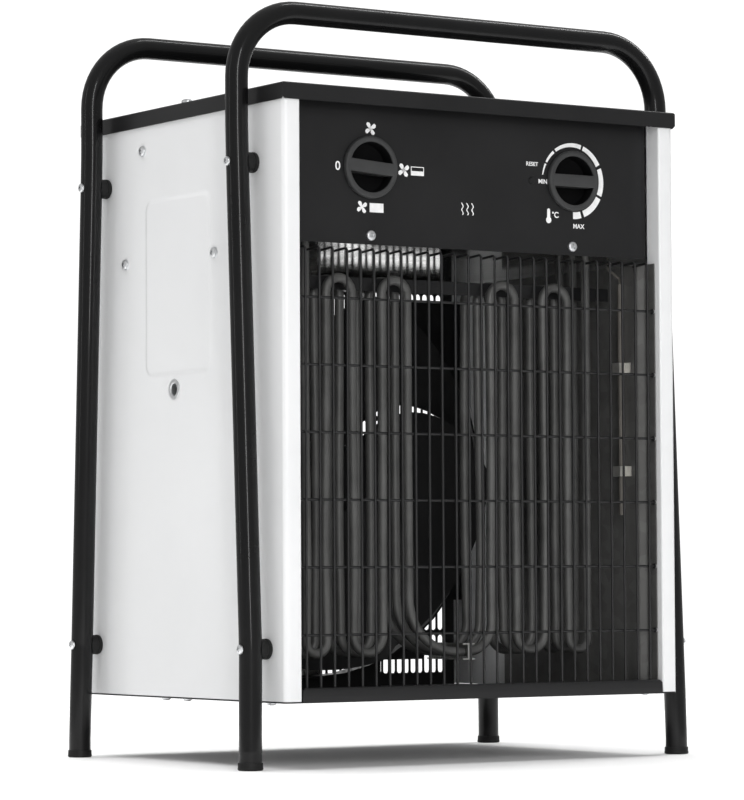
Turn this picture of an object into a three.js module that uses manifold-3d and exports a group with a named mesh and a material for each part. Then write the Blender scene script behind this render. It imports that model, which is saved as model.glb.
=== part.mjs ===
// Industrial electric fan heater: a sheet-metal casing hung between two tubular hoops,
// tubular heating elements behind a wire grille, an axial fan, and a recessed control panel.
// Frame: millimetres, +Z up, front towards -Y, origin on the floor under the middle.
import * as THREE from 'three';
import { mergeVertices } from 'three/addons/utils/BufferGeometryUtils.js';
import Module from 'manifold-3d';

// ---------------------------------------------------------------- driving dimensions
const OVERALL_HEIGHT = 680;
const CASING_WIDTH = 430;
const CASING_DEPTH = 360;
const CASING_BOTTOM = 58;
const CASING_TOP = 600;
const SHEET = 1.2;
const SHEET_BEND = 2;
const GAP = 0.3;

const FLANGE_WIDTH = 17;
const RETURN_DEPTH = 18.5;
const EDGE_RADIUS = 5;
const COVER_RIM = 15;
const COVER_OVERLAP = 0.4;
const COVER_CORNER = 2.3;
const LIP_HEIGHT = 13;
const LIP_RETURN = 6;
const LIP_BEND = 2.5;
const RECESS = 20;
const PANEL_BOTTOM = 463;
const PANEL_TOP = 593;
const PANEL_FLANGE = 14;

const TUBE_RADIUS = 10.2;
const SPACER_LENGTH = 7.6;
const SPACER_RADIUS = 9;
const HOOP_BEND = 61.5;
const HOOP_TOP_Y = 130.6;
const HOOP_KINK_Z = 566;
const UPPER_SCREW = { y: 131.7, z: 533 };
const LOWER_SCREW = { y: 150.8, z: 105 };
const FOOT_Y = 152.6;
const FOOT_SPLAY = 1.6;
const FOOT_CAP = { radius: 11, height: 6.8, floor: 2.2 };
const SCREW_SHANK = 2.1;
const SCREW_HOLE = 2.6;
const SCREW_HEAD = 4.2;
const SCREW_HEAD_HEIGHT = 2.7;
const SCREW_REACH = 9;
const NUT = { radius: 4.4, height: 3.2 };
const SPACER_WRAP = 4.2;

const INSERT = { y: 9, z: 339, radius: 6 };

const GRILLE_WIRES = 27;
const GRILLE_PITCH = 14.52;
const GRILLE_ROWS = 6;
const GRILLE_TOP_ROW = 413.2;
const GRILLE_ROW_PITCH = 59.3;
const WIRE = 2.4;
const GRILLE_Y = -172;
const GRILLE_HOOK = 20;

const SLOT_ROWS = 5;
const SLOT_COLUMNS = 16;
const SLOT_PITCH = 24.6;
const SLOT_ROW_PITCH = 85.2;
const SLOT = { width: 19, height: 80.6, bottom: 71, top: 449.8 };

const ELEMENT_RADIUS = 4.3;
const ELEMENT_ROWS = [-120, -100, -80];
const ELEMENT_TOP = 436;
const ELEMENT_BOTTOM = 99;
const TERMINAL_X = 156;
const TERMINAL_STUD = 14;
const TERMINAL_PLATE = { half: 12, height: 3 };
const WIDE_LOOP = { left: 50, right: 26 };
const CLIP_X = 14;
const CLIP = { web: 1, flange: 6.5, height: 7.5, sheet: 1.2, past: 9 };
const SUPPORT_BAR = { thickness: 1.5, below: 10, above: 2 };
const SHIELD_BACK = 62;
const SHIELD_TOP = 458;
const SHIELD_SHEET = 0.8;
const SHIELD_FRONT = -173.6;
const SHIELD_JOG = -160;
const SHIELD_BEND = 3;

const FAN_Z = 262;
const FAN_RADIUS = 184;
const FAN_Y = 90;
const FAN_BLADES = 5;
const BLADE_PITCH = 0.24;
const BLADE_TURN = 0.1;
const SHROUD_RADIUS = 190;
const SHROUD_COLLAR = [104, 124];
const SHROUD_SHEET = 2;
const SHROUD_PLATE = { half: 193, low: 86, high: 440, notchX: 134, notchZ: 144, foot: 84 };
const HUB = { radius: 36, front: 16, back: 12 };
const FAN_SHAFT = 4;
const MOTOR = { radius: 44, front: 24, back: 14 };
const BRACKET = { half: 28, thickness: 3 };

const KNOB_X = 112;
const KNOB_Z = 532;
const KNOB_RADIUS = 28;
const KNOB_CUP_RADIUS = 23.6;
const KNOB_PROUD = 4.5;
const KNOB_DEPTH = 13;
const KNOB_RECESS = 10;
const KNOB_GRIP_HALF = 5.2;
const KNOB_SHAFT = 3;
const SELECTOR_REST = 0.07;
const RESET = { x: 66, z: 530, hole: 3.5, button: 2.8, body: 10, depth: 24 };
const CONTACTOR = { half: 26, front: -96, back: -40, height: 74 };
const TERMINAL_BLOCK = { left: -176, right: -64, front: 96, back: 118, height: 18 };
const FLOOR_FLANGE = 14;
const CONTROLS_BACK = -101.5;
const GLAND = { x: -120, z: 548, thread: 12, nut: 17 };

// ---------------------------------------------------------------- derived places
const HALF_W = CASING_WIDTH / 2;
const HALF_D = CASING_DEPTH / 2;
const OPENING_X = HALF_W - FLANGE_WIDTH;
const TRAY_TOP = CASING_BOTTOM + SHEET;
const PANEL_Y = -HALF_D + RECESS;
const REAR_Y = HALF_D - RECESS;
const LEG_X = HALF_W + SPACER_LENGTH + TUBE_RADIUS;
const HOOP_Z = OVERALL_HEIGHT - TUBE_RADIUS;
const SHIELD_X = OPENING_X - 7;
const SHIELD_FACE = SHIELD_X - SHIELD_SHEET;
const SENSOR = { x: SHIELD_FACE - 3.4, y: -133, line: 1.3, offset: 8 };
const FLOOR_UNDER = PANEL_BOTTOM + 1;
const FLOOR_TOP = FLOOR_UNDER + SHEET;
const HALF_TURN = Math.PI;
const QUARTER_TURN = Math.PI / 2;
const STRAIGHT_ANGLE = 0.002;
const WELD = 1e-4;
const CUT_PAST = 10;

// ---------------------------------------------------------------- materials
function material(color, roughness, metalness) {
  return new THREE.MeshStandardMaterial({ color, roughness, metalness });
}
const LOOKS = {
  whitePaint: material('#e9eaea', 0.3, 0.1),
  blackPaint: material('#1d1d1e', 0.45, 0.1),
  blackWire: material('#27282a', 0.5, 0.2),
  galvanised: material('#8b8c86', 0.45, 0.85),
  sheath: material('#4b4a47', 0.55, 0.6),
  rubber: material('#161616', 0.8, 0),
  plastic: material('#2f3032', 0.55, 0),
  blackPlastic: material('#18191a', 0.5, 0),
  screwSteel: material('#c2c4c6', 0.3, 0.9),
  castAluminium: material('#9a9c9e', 0.5, 0.8),
  copper: material('#9c6a45', 0.4, 0.9),
  creamPlastic: material('#d8d4c6', 0.5, 0),
};

const heater = new THREE.Group();

function addPart(name, geometry, look) {
  const mesh = new THREE.Mesh(geometry, LOOKS[look]);
  mesh.name = name;
  heater.add(mesh);
  return mesh;
}

// ---------------------------------------------------------------- joining and cutting
const wasm = await Module();
wasm.setup();

function toSolid(geometry) {
  const plain = geometry.clone();
  plain.deleteAttribute('normal');
  plain.deleteAttribute('uv');
  const welded = mergeVertices(plain, WELD);
  return new wasm.Manifold(new wasm.Mesh({
    numProp: 3,
    vertProperties: new Float32Array(welded.attributes.position.array),
    triVerts: new Uint32Array(welded.index.array),
  }));
}

function fromSolid(solid) {
  const mesh = solid.getMesh();
  const geometry = new THREE.BufferGeometry();
  geometry.setAttribute('position', new THREE.BufferAttribute(mesh.vertProperties, 3));
  geometry.setIndex(new THREE.BufferAttribute(mesh.triVerts, 1));
  geometry.computeVertexNormals();
  return geometry;
}

function join(...geometries) {
  return fromSolid(geometries.map(toSolid).reduce((whole, piece) => whole.add(piece)));
}

function cut(geometry, ...tools) {
  return fromSolid(tools.map(toSolid).reduce((rest, tool) => rest.subtract(tool), toSolid(geometry)));
}

// ---------------------------------------------------------------- basic shapes
function box(xRange, yRange, zRange) {
  const size = [xRange, yRange, zRange].map(([low, high]) => high - low);
  const middle = [xRange, yRange, zRange].map(([low, high]) => (low + high) / 2);
  return new THREE.BoxGeometry(...size).translate(...middle);
}

function rodZ(radius, zRange, x, y, sides = 16) {
  const rod = new THREE.CylinderGeometry(radius, radius, zRange[1] - zRange[0], sides);
  return rod.rotateX(QUARTER_TURN).translate(x, y, (zRange[0] + zRange[1]) / 2);
}

function rodY(radius, yRange, x, z, sides = 16) {
  const rod = new THREE.CylinderGeometry(radius, radius, yRange[1] - yRange[0], sides);
  return rod.translate(x, (yRange[0] + yRange[1]) / 2, z);
}

function rodX(radius, xRange, y, z, sides = 16) {
  const rod = new THREE.CylinderGeometry(radius, radius, xRange[1] - xRange[0], sides);
  return rod.rotateZ(QUARTER_TURN).translate((xRange[0] + xRange[1]) / 2, y, z);
}

// A profile of [radius, height] points turned about the Y axis.
function turnedY(profile, sides) {
  return new THREE.LatheGeometry(profile.map(([r, h]) => new THREE.Vector2(r, h)), sides);
}

function extrudeZ(shape, zRange) {
  const solid = new THREE.ExtrudeGeometry(shape, {
    depth: zRange[1] - zRange[0], bevelEnabled: false, curveSegments: 12,
  });
  return solid.translate(0, 0, zRange[0]);
}

// A shape drawn as (y, z) and pushed along X.
function extrudeX(shape, xRange) {
  const turn = new THREE.Matrix4().makeBasis(
    new THREE.Vector3(0, 1, 0), new THREE.Vector3(0, 0, 1), new THREE.Vector3(1, 0, 0),
  );
  return extrudeZ(shape, [0, xRange[1] - xRange[0]]).applyMatrix4(turn).translate(xRange[0], 0, 0);
}

// ---------------------------------------------------------------- routes and tubes
// Rounds each inner corner of a route; radii is one number or one per corner.
function roundCorners(corners, radii, steps = 6) {
  const route = [corners[0].clone()];
  for (let i = 1; i < corners.length - 1; i += 1) {
    const corner = corners[i];
    const radius = Array.isArray(radii) ? radii[i - 1] : radii;
    const back = corners[i - 1].clone().sub(corner).normalize();
    const ahead = corners[i + 1].clone().sub(corner).normalize();
    const half = back.angleTo(ahead) / 2;
    if (radius === 0 || QUARTER_TURN - half < STRAIGHT_ANGLE) {
      route.push(corner.clone());
      continue;
    }
    const inward = back.clone().add(ahead).normalize();
    const middle = inward.multiplyScalar(radius / Math.sin(half)).add(corner);
    const start = back.clone().multiplyScalar(radius / Math.tan(half)).add(corner).sub(middle);
    const end = ahead.clone().multiplyScalar(radius / Math.tan(half)).add(corner).sub(middle);
    const axis = start.clone().cross(end).normalize();
    for (let step = 0; step <= steps; step += 1) {
      const angle = (step / steps) * (HALF_TURN - 2 * half);
      route.push(start.clone().applyAxisAngle(axis, angle).add(middle));
    }
  }
  route.push(corners[corners.length - 1].clone());
  return route;
}

// A curve that stops exactly at the stations of a route, so bends get the steps they need.
class StationCurve extends THREE.Curve {
  constructor(stations) {
    super();
    this.stations = stations;
  }

  getPointAt(u) {
    return this.stations[Math.round(u * (this.stations.length - 1))].clone();
  }

  getTangentAt(u) {
    const last = this.stations.length - 1;
    const i = Math.round(u * last);
    const before = this.stations[Math.max(i - 1, 0)];
    const here = this.stations[i];
    const after = this.stations[Math.min(i + 1, last)];
    const arriving = here.clone().sub(before).normalize();
    const leaving = after.clone().sub(here).normalize();
    return arriving.add(leaving).normalize();
  }
}

function regularShape(radius, sides) {
  const corners = Array.from({ length: sides }, (_, i) => {
    const angle = ((i + 0.5) / sides) * 2 * HALF_TURN;
    return new THREE.Vector2(radius * Math.cos(angle), radius * Math.sin(angle));
  });
  return new THREE.Shape(corners);
}

function tube(route, radius, sides) {
  return new THREE.ExtrudeGeometry(regularShape(radius, sides), {
    steps: route.length - 1, extrudePath: new StationCurve(route), bevelEnabled: false,
  });
}

function points3(...list) {
  return list.map(([x, y, z]) => new THREE.Vector3(x, y, z));
}

// The outline of bent sheet: a rounded polyline thickened to its left.
function bentSheet(corners, radii, thickness = SHEET) {
  const flat = corners.map(([u, v]) => new THREE.Vector3(u, v, 0));
  const outer = roundCorners(flat, radii, 5);
  const inner = outer.map((point, i) => {
    const before = outer[Math.max(i - 1, 0)];
    const after = outer[Math.min(i + 1, outer.length - 1)];
    const toNext = after.clone().sub(point).normalize();
    const arriving = i > 0 ? point.clone().sub(before).normalize() : toNext;
    const leaving = i < outer.length - 1 ? toNext : arriving;
    const side = arriving.clone().add(leaving).normalize();
    const reach = thickness / side.dot(arriving);
    return new THREE.Vector3(-side.y, side.x, 0).multiplyScalar(reach).add(point);
  });
  return new THREE.Shape([...outer, ...inner.reverse()].map((p) => new THREE.Vector2(p.x, p.y)));
}

function roundedRectangle(halfX, halfY, radius) {
  const corners = [
    [-halfX, 0], [-halfX, -halfY], [halfX, -halfY], [halfX, halfY], [-halfX, halfY], [-halfX, 0],
  ];
  const route = roundCorners(points3(...corners.map(([x, y]) => [x, y, 0])), radius, 3);
  return new THREE.Shape(route.slice(0, -1).map((p) => new THREE.Vector2(p.x, p.y)));
}

// ---------------------------------------------------------------- casing
const HOOP_SCREWS = [-1, 1].flatMap((front) => [
  { name: 'upper', end: front, y: front * UPPER_SCREW.y, z: UPPER_SCREW.z },
  { name: 'lower', end: front, y: front * LOWER_SCREW.y, z: LOWER_SCREW.z },
]);

function sidePanelGeometry() {
  const returnEnd = HALF_D - RETURN_DEPTH;
  const profile = bentSheet([
    [OPENING_X, -returnEnd], [OPENING_X, -HALF_D], [HALF_W, -HALF_D],
    [HALF_W, HALF_D], [OPENING_X, HALF_D], [OPENING_X, returnEnd],
  ], [SHEET_BEND, EDGE_RADIUS, EDGE_RADIUS, SHEET_BEND]);
  const sheet = extrudeZ(profile, [TRAY_TOP + GAP, CASING_TOP - SHEET - GAP]);
  const wall = [HALF_W - CUT_PAST, HALF_W + CUT_PAST];
  const holes = HOOP_SCREWS.map((screw) => rodX(SCREW_HOLE, wall, screw.y, screw.z, 8));
  const insertHole = rodX(INSERT.radius, wall, INSERT.y, INSERT.z, 12);
  return cut(sheet, insertHole, ...holes);
}

function addCasing() {
  addPart('side_panel_right', sidePanelGeometry(), 'whitePaint');
  addPart('side_panel_left', sidePanelGeometry(), 'whitePaint').scale.x = -1;

  const innerX = HALF_W + COVER_OVERLAP;
  const innerY = HALF_D + COVER_OVERLAP;
  const outline = roundedRectangle(innerX + SHEET, innerY + SHEET, COVER_CORNER + SHEET);
  const outside = extrudeZ(outline, [CASING_TOP - COVER_RIM, CASING_TOP]);
  const hollow = roundedRectangle(innerX, innerY, COVER_CORNER);
  const inside = extrudeZ(hollow, [CASING_TOP - COVER_RIM - CUT_PAST, CASING_TOP - SHEET]);
  addPart('top_cover', cut(outside, inside), 'blackPaint');

  const floor = extrudeZ(roundedRectangle(HALF_W, HALF_D, EDGE_RADIUS), [CASING_BOTTOM, TRAY_TOP]);
  const lipBack = HALF_D - LIP_RETURN;
  const lipTop = CASING_BOTTOM + LIP_HEIGHT;
  const frontLip = extrudeX(bentSheet([
    [-lipBack, lipTop], [-HALF_D, lipTop], [-HALF_D, CASING_BOTTOM],
  ], [LIP_BEND]), [-OPENING_X + GAP, OPENING_X - GAP]);
  const rearLip = extrudeX(bentSheet([
    [HALF_D, CASING_BOTTOM], [HALF_D, lipTop], [lipBack, lipTop],
  ], [LIP_BEND]), [-OPENING_X + GAP, OPENING_X - GAP]);
  addPart('bottom_tray', join(floor, frontLip, rearLip), 'blackPaint');
}

function addControlPanel() {
  const side = OPENING_X - 1;
  const plate = box([-side, side], [PANEL_Y, PANEL_Y + SHEET], [PANEL_BOTTOM, PANEL_TOP]);
  const flanges = [-1, 1].map((hand) => {
    const edge = [hand * side, hand * (side - SHEET)].sort((a, b) => a - b);
    return box(edge, [PANEL_Y, PANEL_Y + PANEL_FLANGE], [FLOOR_TOP + GAP, PANEL_TOP]);
  });
  const wall = [PANEL_Y - CUT_PAST, PANEL_Y + CUT_PAST];
  const cups = [-1, 1].map((hand) => rodY(KNOB_CUP_RADIUS + 0.7, wall, hand * KNOB_X, KNOB_Z, 24));
  const resetHole = rodY(RESET.hole, wall, RESET.x, RESET.z, 12);
  addPart('control_panel', cut(join(plate, ...flanges), ...cups, resetHole), 'blackPaint');

  const front = PANEL_Y + SHEET + GAP;
  const back = REAR_Y - SHEET - GAP;
  const half = HALF_W - SHEET - GAP;
  const floor = extrudeX(bentSheet([
    [front, FLOOR_UNDER], [back, FLOOR_UNDER], [back, FLOOR_UNDER + FLOOR_FLANGE],
  ], [SHEET_BEND]), [-half, half]);
  const through = [FLOOR_UNDER - CUT_PAST, FLOOR_TOP + CUT_PAST];
  const terminals = [-1, 1].flatMap((hand) => ELEMENT_ROWS.map((y) => (
    rodZ(ELEMENT_RADIUS + GAP + 0.1, through, hand * TERMINAL_X, y, 12)
  )));
  const lineX = SENSOR.x - SENSOR.offset;
  const sensorHole = rodZ(SENSOR.line * 2, through, lineX, SENSOR.y + SENSOR.offset, 12);
  addPart('compartment_floor', cut(floor, sensorHole, ...terminals), 'galvanised');
}

function addRearPanel() {
  const side = OPENING_X - 1;
  const sheet = box([-side, side], [REAR_Y - SHEET, REAR_Y], [TRAY_TOP + GAP, CASING_TOP - SHEET - GAP]);
  const wall = [REAR_Y - CUT_PAST, REAR_Y + CUT_PAST];
  const slots = [];
  for (let row = 0; row < SLOT_ROWS; row += 1) {
    for (let column = 0; column < SLOT_COLUMNS; column += 1) {
      const x = (column - (SLOT_COLUMNS - 1) / 2) * SLOT_PITCH;
      const z = SLOT.bottom + row * SLOT_ROW_PITCH;
      const height = [z, Math.min(z + SLOT.height, SLOT.top)];
      slots.push(box([x - SLOT.width / 2, x + SLOT.width / 2], wall, height));
    }
  }
  const glandHole = rodY(GLAND.thread + 0.4, wall, GLAND.x, GLAND.z, 20);
  addPart('rear_panel', cut(sheet, ...slots, glandHole), 'blackPaint');
}

// ---------------------------------------------------------------- hoops, spacers, screws and feet
function hoopRoute(end) {
  const footX = LEG_X + FOOT_SPLAY;
  const leg = [
    [footX, end * FOOT_Y, FOOT_CAP.floor + GAP],
    [footX, end * FOOT_Y, 16],
    [LEG_X, end * LOWER_SCREW.y, LOWER_SCREW.z],
    [LEG_X, end * UPPER_SCREW.y, UPPER_SCREW.z],
    [LEG_X, end * HOOP_TOP_Y, HOOP_KINK_Z],
    [LEG_X, end * HOOP_TOP_Y, HOOP_Z],
  ];
  const left = leg.map(([x, y, z]) => [-x, y, z]);
  const radii = [0, 0, 0, 0, HOOP_BEND, HOOP_BEND, 0, 0, 0, 0];
  return roundCorners(points3(...left, ...leg.reverse()), radii, 6);
}

function addHoops() {
  for (const [name, end] of [['front', -1], ['rear', 1]]) {
    const bar = tube(hoopRoute(end), TUBE_RADIUS, 12);
    const holes = HOOP_SCREWS.filter((screw) => screw.end === end).flatMap((screw) => [
      rodX(SCREW_HOLE, [-LEG_X - 20, -LEG_X + 20], screw.y, screw.z, 8),
      rodX(SCREW_HOLE, [LEG_X - 20, LEG_X + 20], screw.y, screw.z, 8),
    ]);
    addPart(`${name}_hoop`, cut(bar, ...holes), 'blackPaint');
  }
}

function spacerGeometry(screw) {
  const reach = HALF_W + SPACER_LENGTH + SPACER_WRAP;
  const lean = new THREE.Vector3(0, UPPER_SCREW.y - LOWER_SCREW.y, UPPER_SCREW.z - LOWER_SCREW.z);
  lean.y *= screw.end;
  const tilt = Math.atan2(lean.y, lean.z);
  const seat = rodZ(TUBE_RADIUS + GAP, [-30, 30], 0, 0, 20).rotateX(-tilt);
  seat.translate(LEG_X, screw.y, screw.z);
  const body = rodX(SPACER_RADIUS, [HALF_W + GAP, reach], screw.y, screw.z, 12);
  const bore = rodX(SCREW_HOLE, [HALF_W - 1, reach + 1], screw.y, screw.z, 8);
  return cut(body, seat, bore);
}

function screwGeometry(screw) {
  const headFrom = LEG_X + TUBE_RADIUS + GAP;
  const head = turnedY([
    [0, 0], [SCREW_HEAD, 0], [SCREW_HEAD, SCREW_HEAD_HEIGHT * 0.4],
    [SCREW_HEAD * 0.72, SCREW_HEAD_HEIGHT * 0.85], [0, SCREW_HEAD_HEIGHT],
  ], 10);
  head.rotateZ(-QUARTER_TURN).translate(headFrom, screw.y, screw.z);
  const shank = rodX(SCREW_SHANK, [HALF_W - SCREW_REACH, headFrom + GAP], screw.y, screw.z, 6);
  const nutSeat = HALF_W - SHEET - GAP;
  const nut = rodX(NUT.radius, [nutSeat - NUT.height, nutSeat], screw.y, screw.z, 6);
  return join(head, shank, nut);
}

function footCapGeometry(end) {
  const { radius, height, floor } = FOOT_CAP;
  const bore = TUBE_RADIUS + GAP;
  const profile = [
    [0, 0], [radius - 0.8, 0], [radius, 0.8], [radius, height], [bore, height], [bore, floor], [0, floor],
  ];
  const cap = turnedY(profile, 18).rotateX(QUARTER_TURN);
  return cap.translate(LEG_X + FOOT_SPLAY, end * FOOT_Y, 0);
}

function addHoopFixings() {
  for (const [side, hand] of [['right', 1], ['left', -1]]) {
    for (const screw of HOOP_SCREWS) {
      const place = `${screw.end < 0 ? 'front' : 'rear'}_${side}_${screw.name}`;
      addPart(`spacer_${place}`, spacerGeometry(screw), 'rubber').scale.x = hand;
      addPart(`hoop_screw_${place}`, screwGeometry(screw), 'screwSteel').scale.x = hand;
    }
    for (const [name, end] of [['front', -1], ['rear', 1]]) {
      addPart(`foot_cap_${name}_${side}`, footCapGeometry(end), 'rubber').scale.x = hand;
    }
  }
}

// ---------------------------------------------------------------- front grille
function grilleRows() {
  return Array.from({ length: GRILLE_ROWS }, (_, row) => GRILLE_TOP_ROW - row * GRILLE_ROW_PITCH);
}

function addGrille() {
  const first = -((GRILLE_WIRES - 1) / 2) * GRILLE_PITCH;
  const bendZ = PANEL_BOTTOM - 4;
  const lowZ = TRAY_TOP + GAP;
  const half = WIRE / 2;
  const hooked = bentSheet([
    [GRILLE_Y + half, lowZ], [GRILLE_Y + half, bendZ - WIRE], [GRILLE_Y + GRILLE_HOOK, bendZ - WIRE],
  ], 0, WIRE);
  const wires = [];
  for (let i = 0; i < GRILLE_WIRES; i += 1) {
    const x = first + i * GRILLE_PITCH;
    wires.push(extrudeX(hooked, [x - half, x + half]));
  }
  const reach = OPENING_X - 0.6;
  for (const z of grilleRows()) {
    wires.push(box([-reach, reach], [GRILLE_Y - half, GRILLE_Y + half], [z - half, z + half]));
  }
  addPart('front_grille', join(...wires), 'blackWire');
}

// ---------------------------------------------------------------- heating elements and shields
// One serpentine tube: narrow hairpins at the top and bottom, one wide loop under the middle.
function elementRoute(y) {
  const high = ELEMENT_TOP;
  const low = ELEMENT_BOTTOM;
  const legs = [-TERMINAL_X, -134, -106, -74, -46, 46, 74, 106, 134, TERMINAL_X];
  const corners = [];
  const radii = [];
  legs.forEach((x, i) => {
    const rising = i % 2 === 1;
    const previous = legs[i - 1];
    const next = legs[i + 1];
    const isFirst = i === 0;
    const isLast = i === legs.length - 1;
    const startZ = isFirst ? FLOOR_TOP + TERMINAL_STUD : (rising ? low : high);
    const endZ = isLast ? FLOOR_TOP + TERMINAL_STUD : (rising ? high : low);
    corners.push([x, y, startZ], [x, y, endZ]);
    if (!isFirst) {
      radii.push(previous === -46 ? WIDE_LOOP.right : Math.abs(x - previous) / 2 - 0.01);
    }
    if (!isLast) {
      radii.push(x === -46 ? WIDE_LOOP.left : Math.abs(next - x) / 2 - 0.01);
    }
  });
  return roundCorners(points3(...corners), radii, 3);
}

function addElements() {
  ELEMENT_ROWS.forEach((y, row) => {
    addPart(`heating_element_${row + 1}`, tube(elementRoute(y), ELEMENT_RADIUS, 6), 'sheath');
  });

  const rows = [ELEMENT_ROWS[0] - CLIP.past, ELEMENT_ROWS[ELEMENT_ROWS.length - 1] + CLIP.past];
  const low = ELEMENT_BOTTOM - CLIP.height;
  const high = ELEMENT_BOTTOM + CLIP.height;
  const web = box([CLIP_X - CLIP.web, CLIP_X + CLIP.web], rows, [low, high]);
  const flangeX = [CLIP_X - CLIP.flange, CLIP_X + CLIP.flange];
  const flanges = [[low, low + CLIP.sheet], [high - CLIP.sheet, high]].map((z) => box(flangeX, rows, z));
  const across = [CLIP_X - CUT_PAST, CLIP_X + CUT_PAST];
  const bores = ELEMENT_ROWS.map((y) => rodX(ELEMENT_RADIUS + 0.5, across, y, ELEMENT_BOTTOM, 12));
  addPart('element_clip', cut(join(web, ...flanges), ...bores), 'galvanised');

  for (const [side, hand] of [['right', 1], ['left', -1]]) {
    const middle = hand * TERMINAL_X;
    const seat = FLOOR_TOP + GAP;
    const edges = [middle - TERMINAL_PLATE.half, middle + TERMINAL_PLATE.half];
    const plate = box(edges, rows, [seat, seat + TERMINAL_PLATE.height]);
    const through = [seat - CUT_PAST, seat + CUT_PAST];
    const holes = ELEMENT_ROWS.map((y) => rodZ(ELEMENT_RADIUS + GAP + 0.1, through, middle, y, 12));
    addPart(`terminal_plate_${side}`, cut(plate, ...holes), 'creamPlastic');
  }

  const barY = (ELEMENT_ROWS[0] + ELEMENT_ROWS[1]) / 2;
  const barDepth = [barY - SUPPORT_BAR.thickness / 2, barY + SUPPORT_BAR.thickness / 2];
  const barHeight = [ELEMENT_TOP - SUPPORT_BAR.below, ELEMENT_TOP + SUPPORT_BAR.above];
  const bar = box([-SHIELD_FACE + GAP, SHIELD_FACE - GAP], barDepth, barHeight);
  addPart('element_support_bar', bar, 'galvanised');
}

function addShields() {
  const flange = OPENING_X - 1;
  const profile = bentSheet([
    [flange, SHIELD_FRONT], [flange, SHIELD_JOG],
    [SHIELD_X, SHIELD_JOG + flange - SHIELD_X], [SHIELD_X, SHIELD_BACK],
  ], [SHIELD_BEND, SHIELD_BEND], SHIELD_SHEET);
  const across = [flange - CUT_PAST / 2, flange + CUT_PAST / 2];
  const holes = grilleRows().map((z) => rodX(WIRE / 2 + 0.9, across, GRILLE_Y, z, 8));
  for (const [side, hand] of [['right', 1], ['left', -1]]) {
    const sheet = cut(extrudeZ(profile, [TRAY_TOP + GAP, SHIELD_TOP]), ...holes);
    addPart(`heat_shield_${side}`, sheet, 'galvanised').scale.x = hand;
  }
}

// ---------------------------------------------------------------- fan
// A notched plate with a round, collared opening, standing on the tray.
function shroudGeometry() {
  const { half, low, high, notchX, notchZ, foot } = SHROUD_PLATE;
  const [front, back] = SHROUD_COLLAR;
  const collar = rodY(SHROUD_RADIUS + SHROUD_SHEET, SHROUD_COLLAR, 0, FAN_Z, 40);
  const bore = rodY(SHROUD_RADIUS, [front - 1, back + 1], 0, FAN_Z, 40);
  const plateY = [back - SHROUD_SHEET, back];
  const upper = box([-half, half], plateY, [notchZ, high]);
  const lower = box([-notchX, notchX], plateY, [low, notchZ + 1]);
  const stand = box([-foot, foot], plateY, [TRAY_TOP + GAP, low + 1]);
  return cut(join(collar, upper, lower, stand), bore);
}

function addFan() {
  addPart('fan_shroud', shroudGeometry(), 'blackPaint');

  const motorY = [FAN_Y + MOTOR.front, REAR_Y - MOTOR.back];
  const bracketY = [motorY[1] + GAP, motorY[1] + GAP + BRACKET.thickness];
  const strap = box([-BRACKET.half, BRACKET.half], bracketY, [TRAY_TOP + GAP, FLOOR_UNDER - GAP]);
  addPart('motor_bracket', strap, 'galvanised');

  const length = motorY[1] - motorY[0];
  const shell = turnedY([
    [0, 0], [MOTOR.radius - 14, 0], [MOTOR.radius - 6, 4], [MOTOR.radius, 8],
    [MOTOR.radius, length], [0, length],
  ], 28);
  const shaftBore = rodY(FAN_SHAFT + 0.4, [-1, MOTOR.back], 0, 0, 16);
  addPart('fan_motor', cut(shell, shaftBore).translate(0, motorY[0], FAN_Z), 'castAluminium');

  addPart('fan_rotor', fanRotorGeometry(motorY[0]), 'blackPlastic');
}

// Hub, shaft and pitched blades; each blade is a swept slab turned about its radial axis.
function fanRotorGeometry(shaftEnd) {
  const { radius, front, back } = HUB;
  const hub = turnedY([
    [0, -front], [radius - 6, -front], [radius, 6 - front], [radius, back], [0, back],
  ], 28).translate(0, FAN_Y, FAN_Z);
  const shaft = rodY(FAN_SHAFT, [FAN_Y, shaftEnd + 10], 0, FAN_Z, 12);
  const blades = Array.from({ length: FAN_BLADES }, (_, i) => {
    const outline = new THREE.Shape();
    outline.moveTo(-20, 30);
    outline.lineTo(20, 30);
    outline.quadraticCurveTo(74, 96, 98, FAN_RADIUS - 30);
    outline.quadraticCurveTo(8, FAN_RADIUS + 26, -88, FAN_RADIUS - 24);
    outline.quadraticCurveTo(-62, 80, -20, 30);
    const slab = new THREE.ExtrudeGeometry(outline, { depth: 2.2, bevelEnabled: false, curveSegments: 5 });
    slab.translate(0, 0, -1.1).rotateX(QUARTER_TURN).rotateZ(BLADE_PITCH);
    return slab.rotateY(BLADE_TURN + (i / FAN_BLADES) * 2 * HALF_TURN).translate(0, FAN_Y, FAN_Z);
  });
  return join(hub, shaft, ...blades);
}

// ---------------------------------------------------------------- controls
function knobGeometry(x, turn) {
  const front = -KNOB_PROUD;
  const rim = KNOB_CUP_RADIUS - 1.4;
  const dish = turnedY([
    [0, KNOB_DEPTH], [KNOB_CUP_RADIUS, KNOB_DEPTH], [KNOB_CUP_RADIUS, -GAP * 2], [KNOB_RADIUS, -GAP * 2],
    [KNOB_RADIUS, front + 1], [KNOB_RADIUS - 1, front], [rim, front],
    [rim - 0.6, KNOB_RECESS], [0, KNOB_RECESS],
  ].reverse(), 24);
  const grip = box([-rim - 0.5, rim + 0.5], [front, KNOB_RECESS + 1], [-KNOB_GRIP_HALF, KNOB_GRIP_HALF]);
  const shaft = rodY(KNOB_SHAFT, [KNOB_DEPTH - 1, KNOB_DEPTH + 12], 0, 0, 12);
  return join(dish, grip, shaft).rotateY(turn).translate(x, PANEL_Y, KNOB_Z);
}

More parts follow.
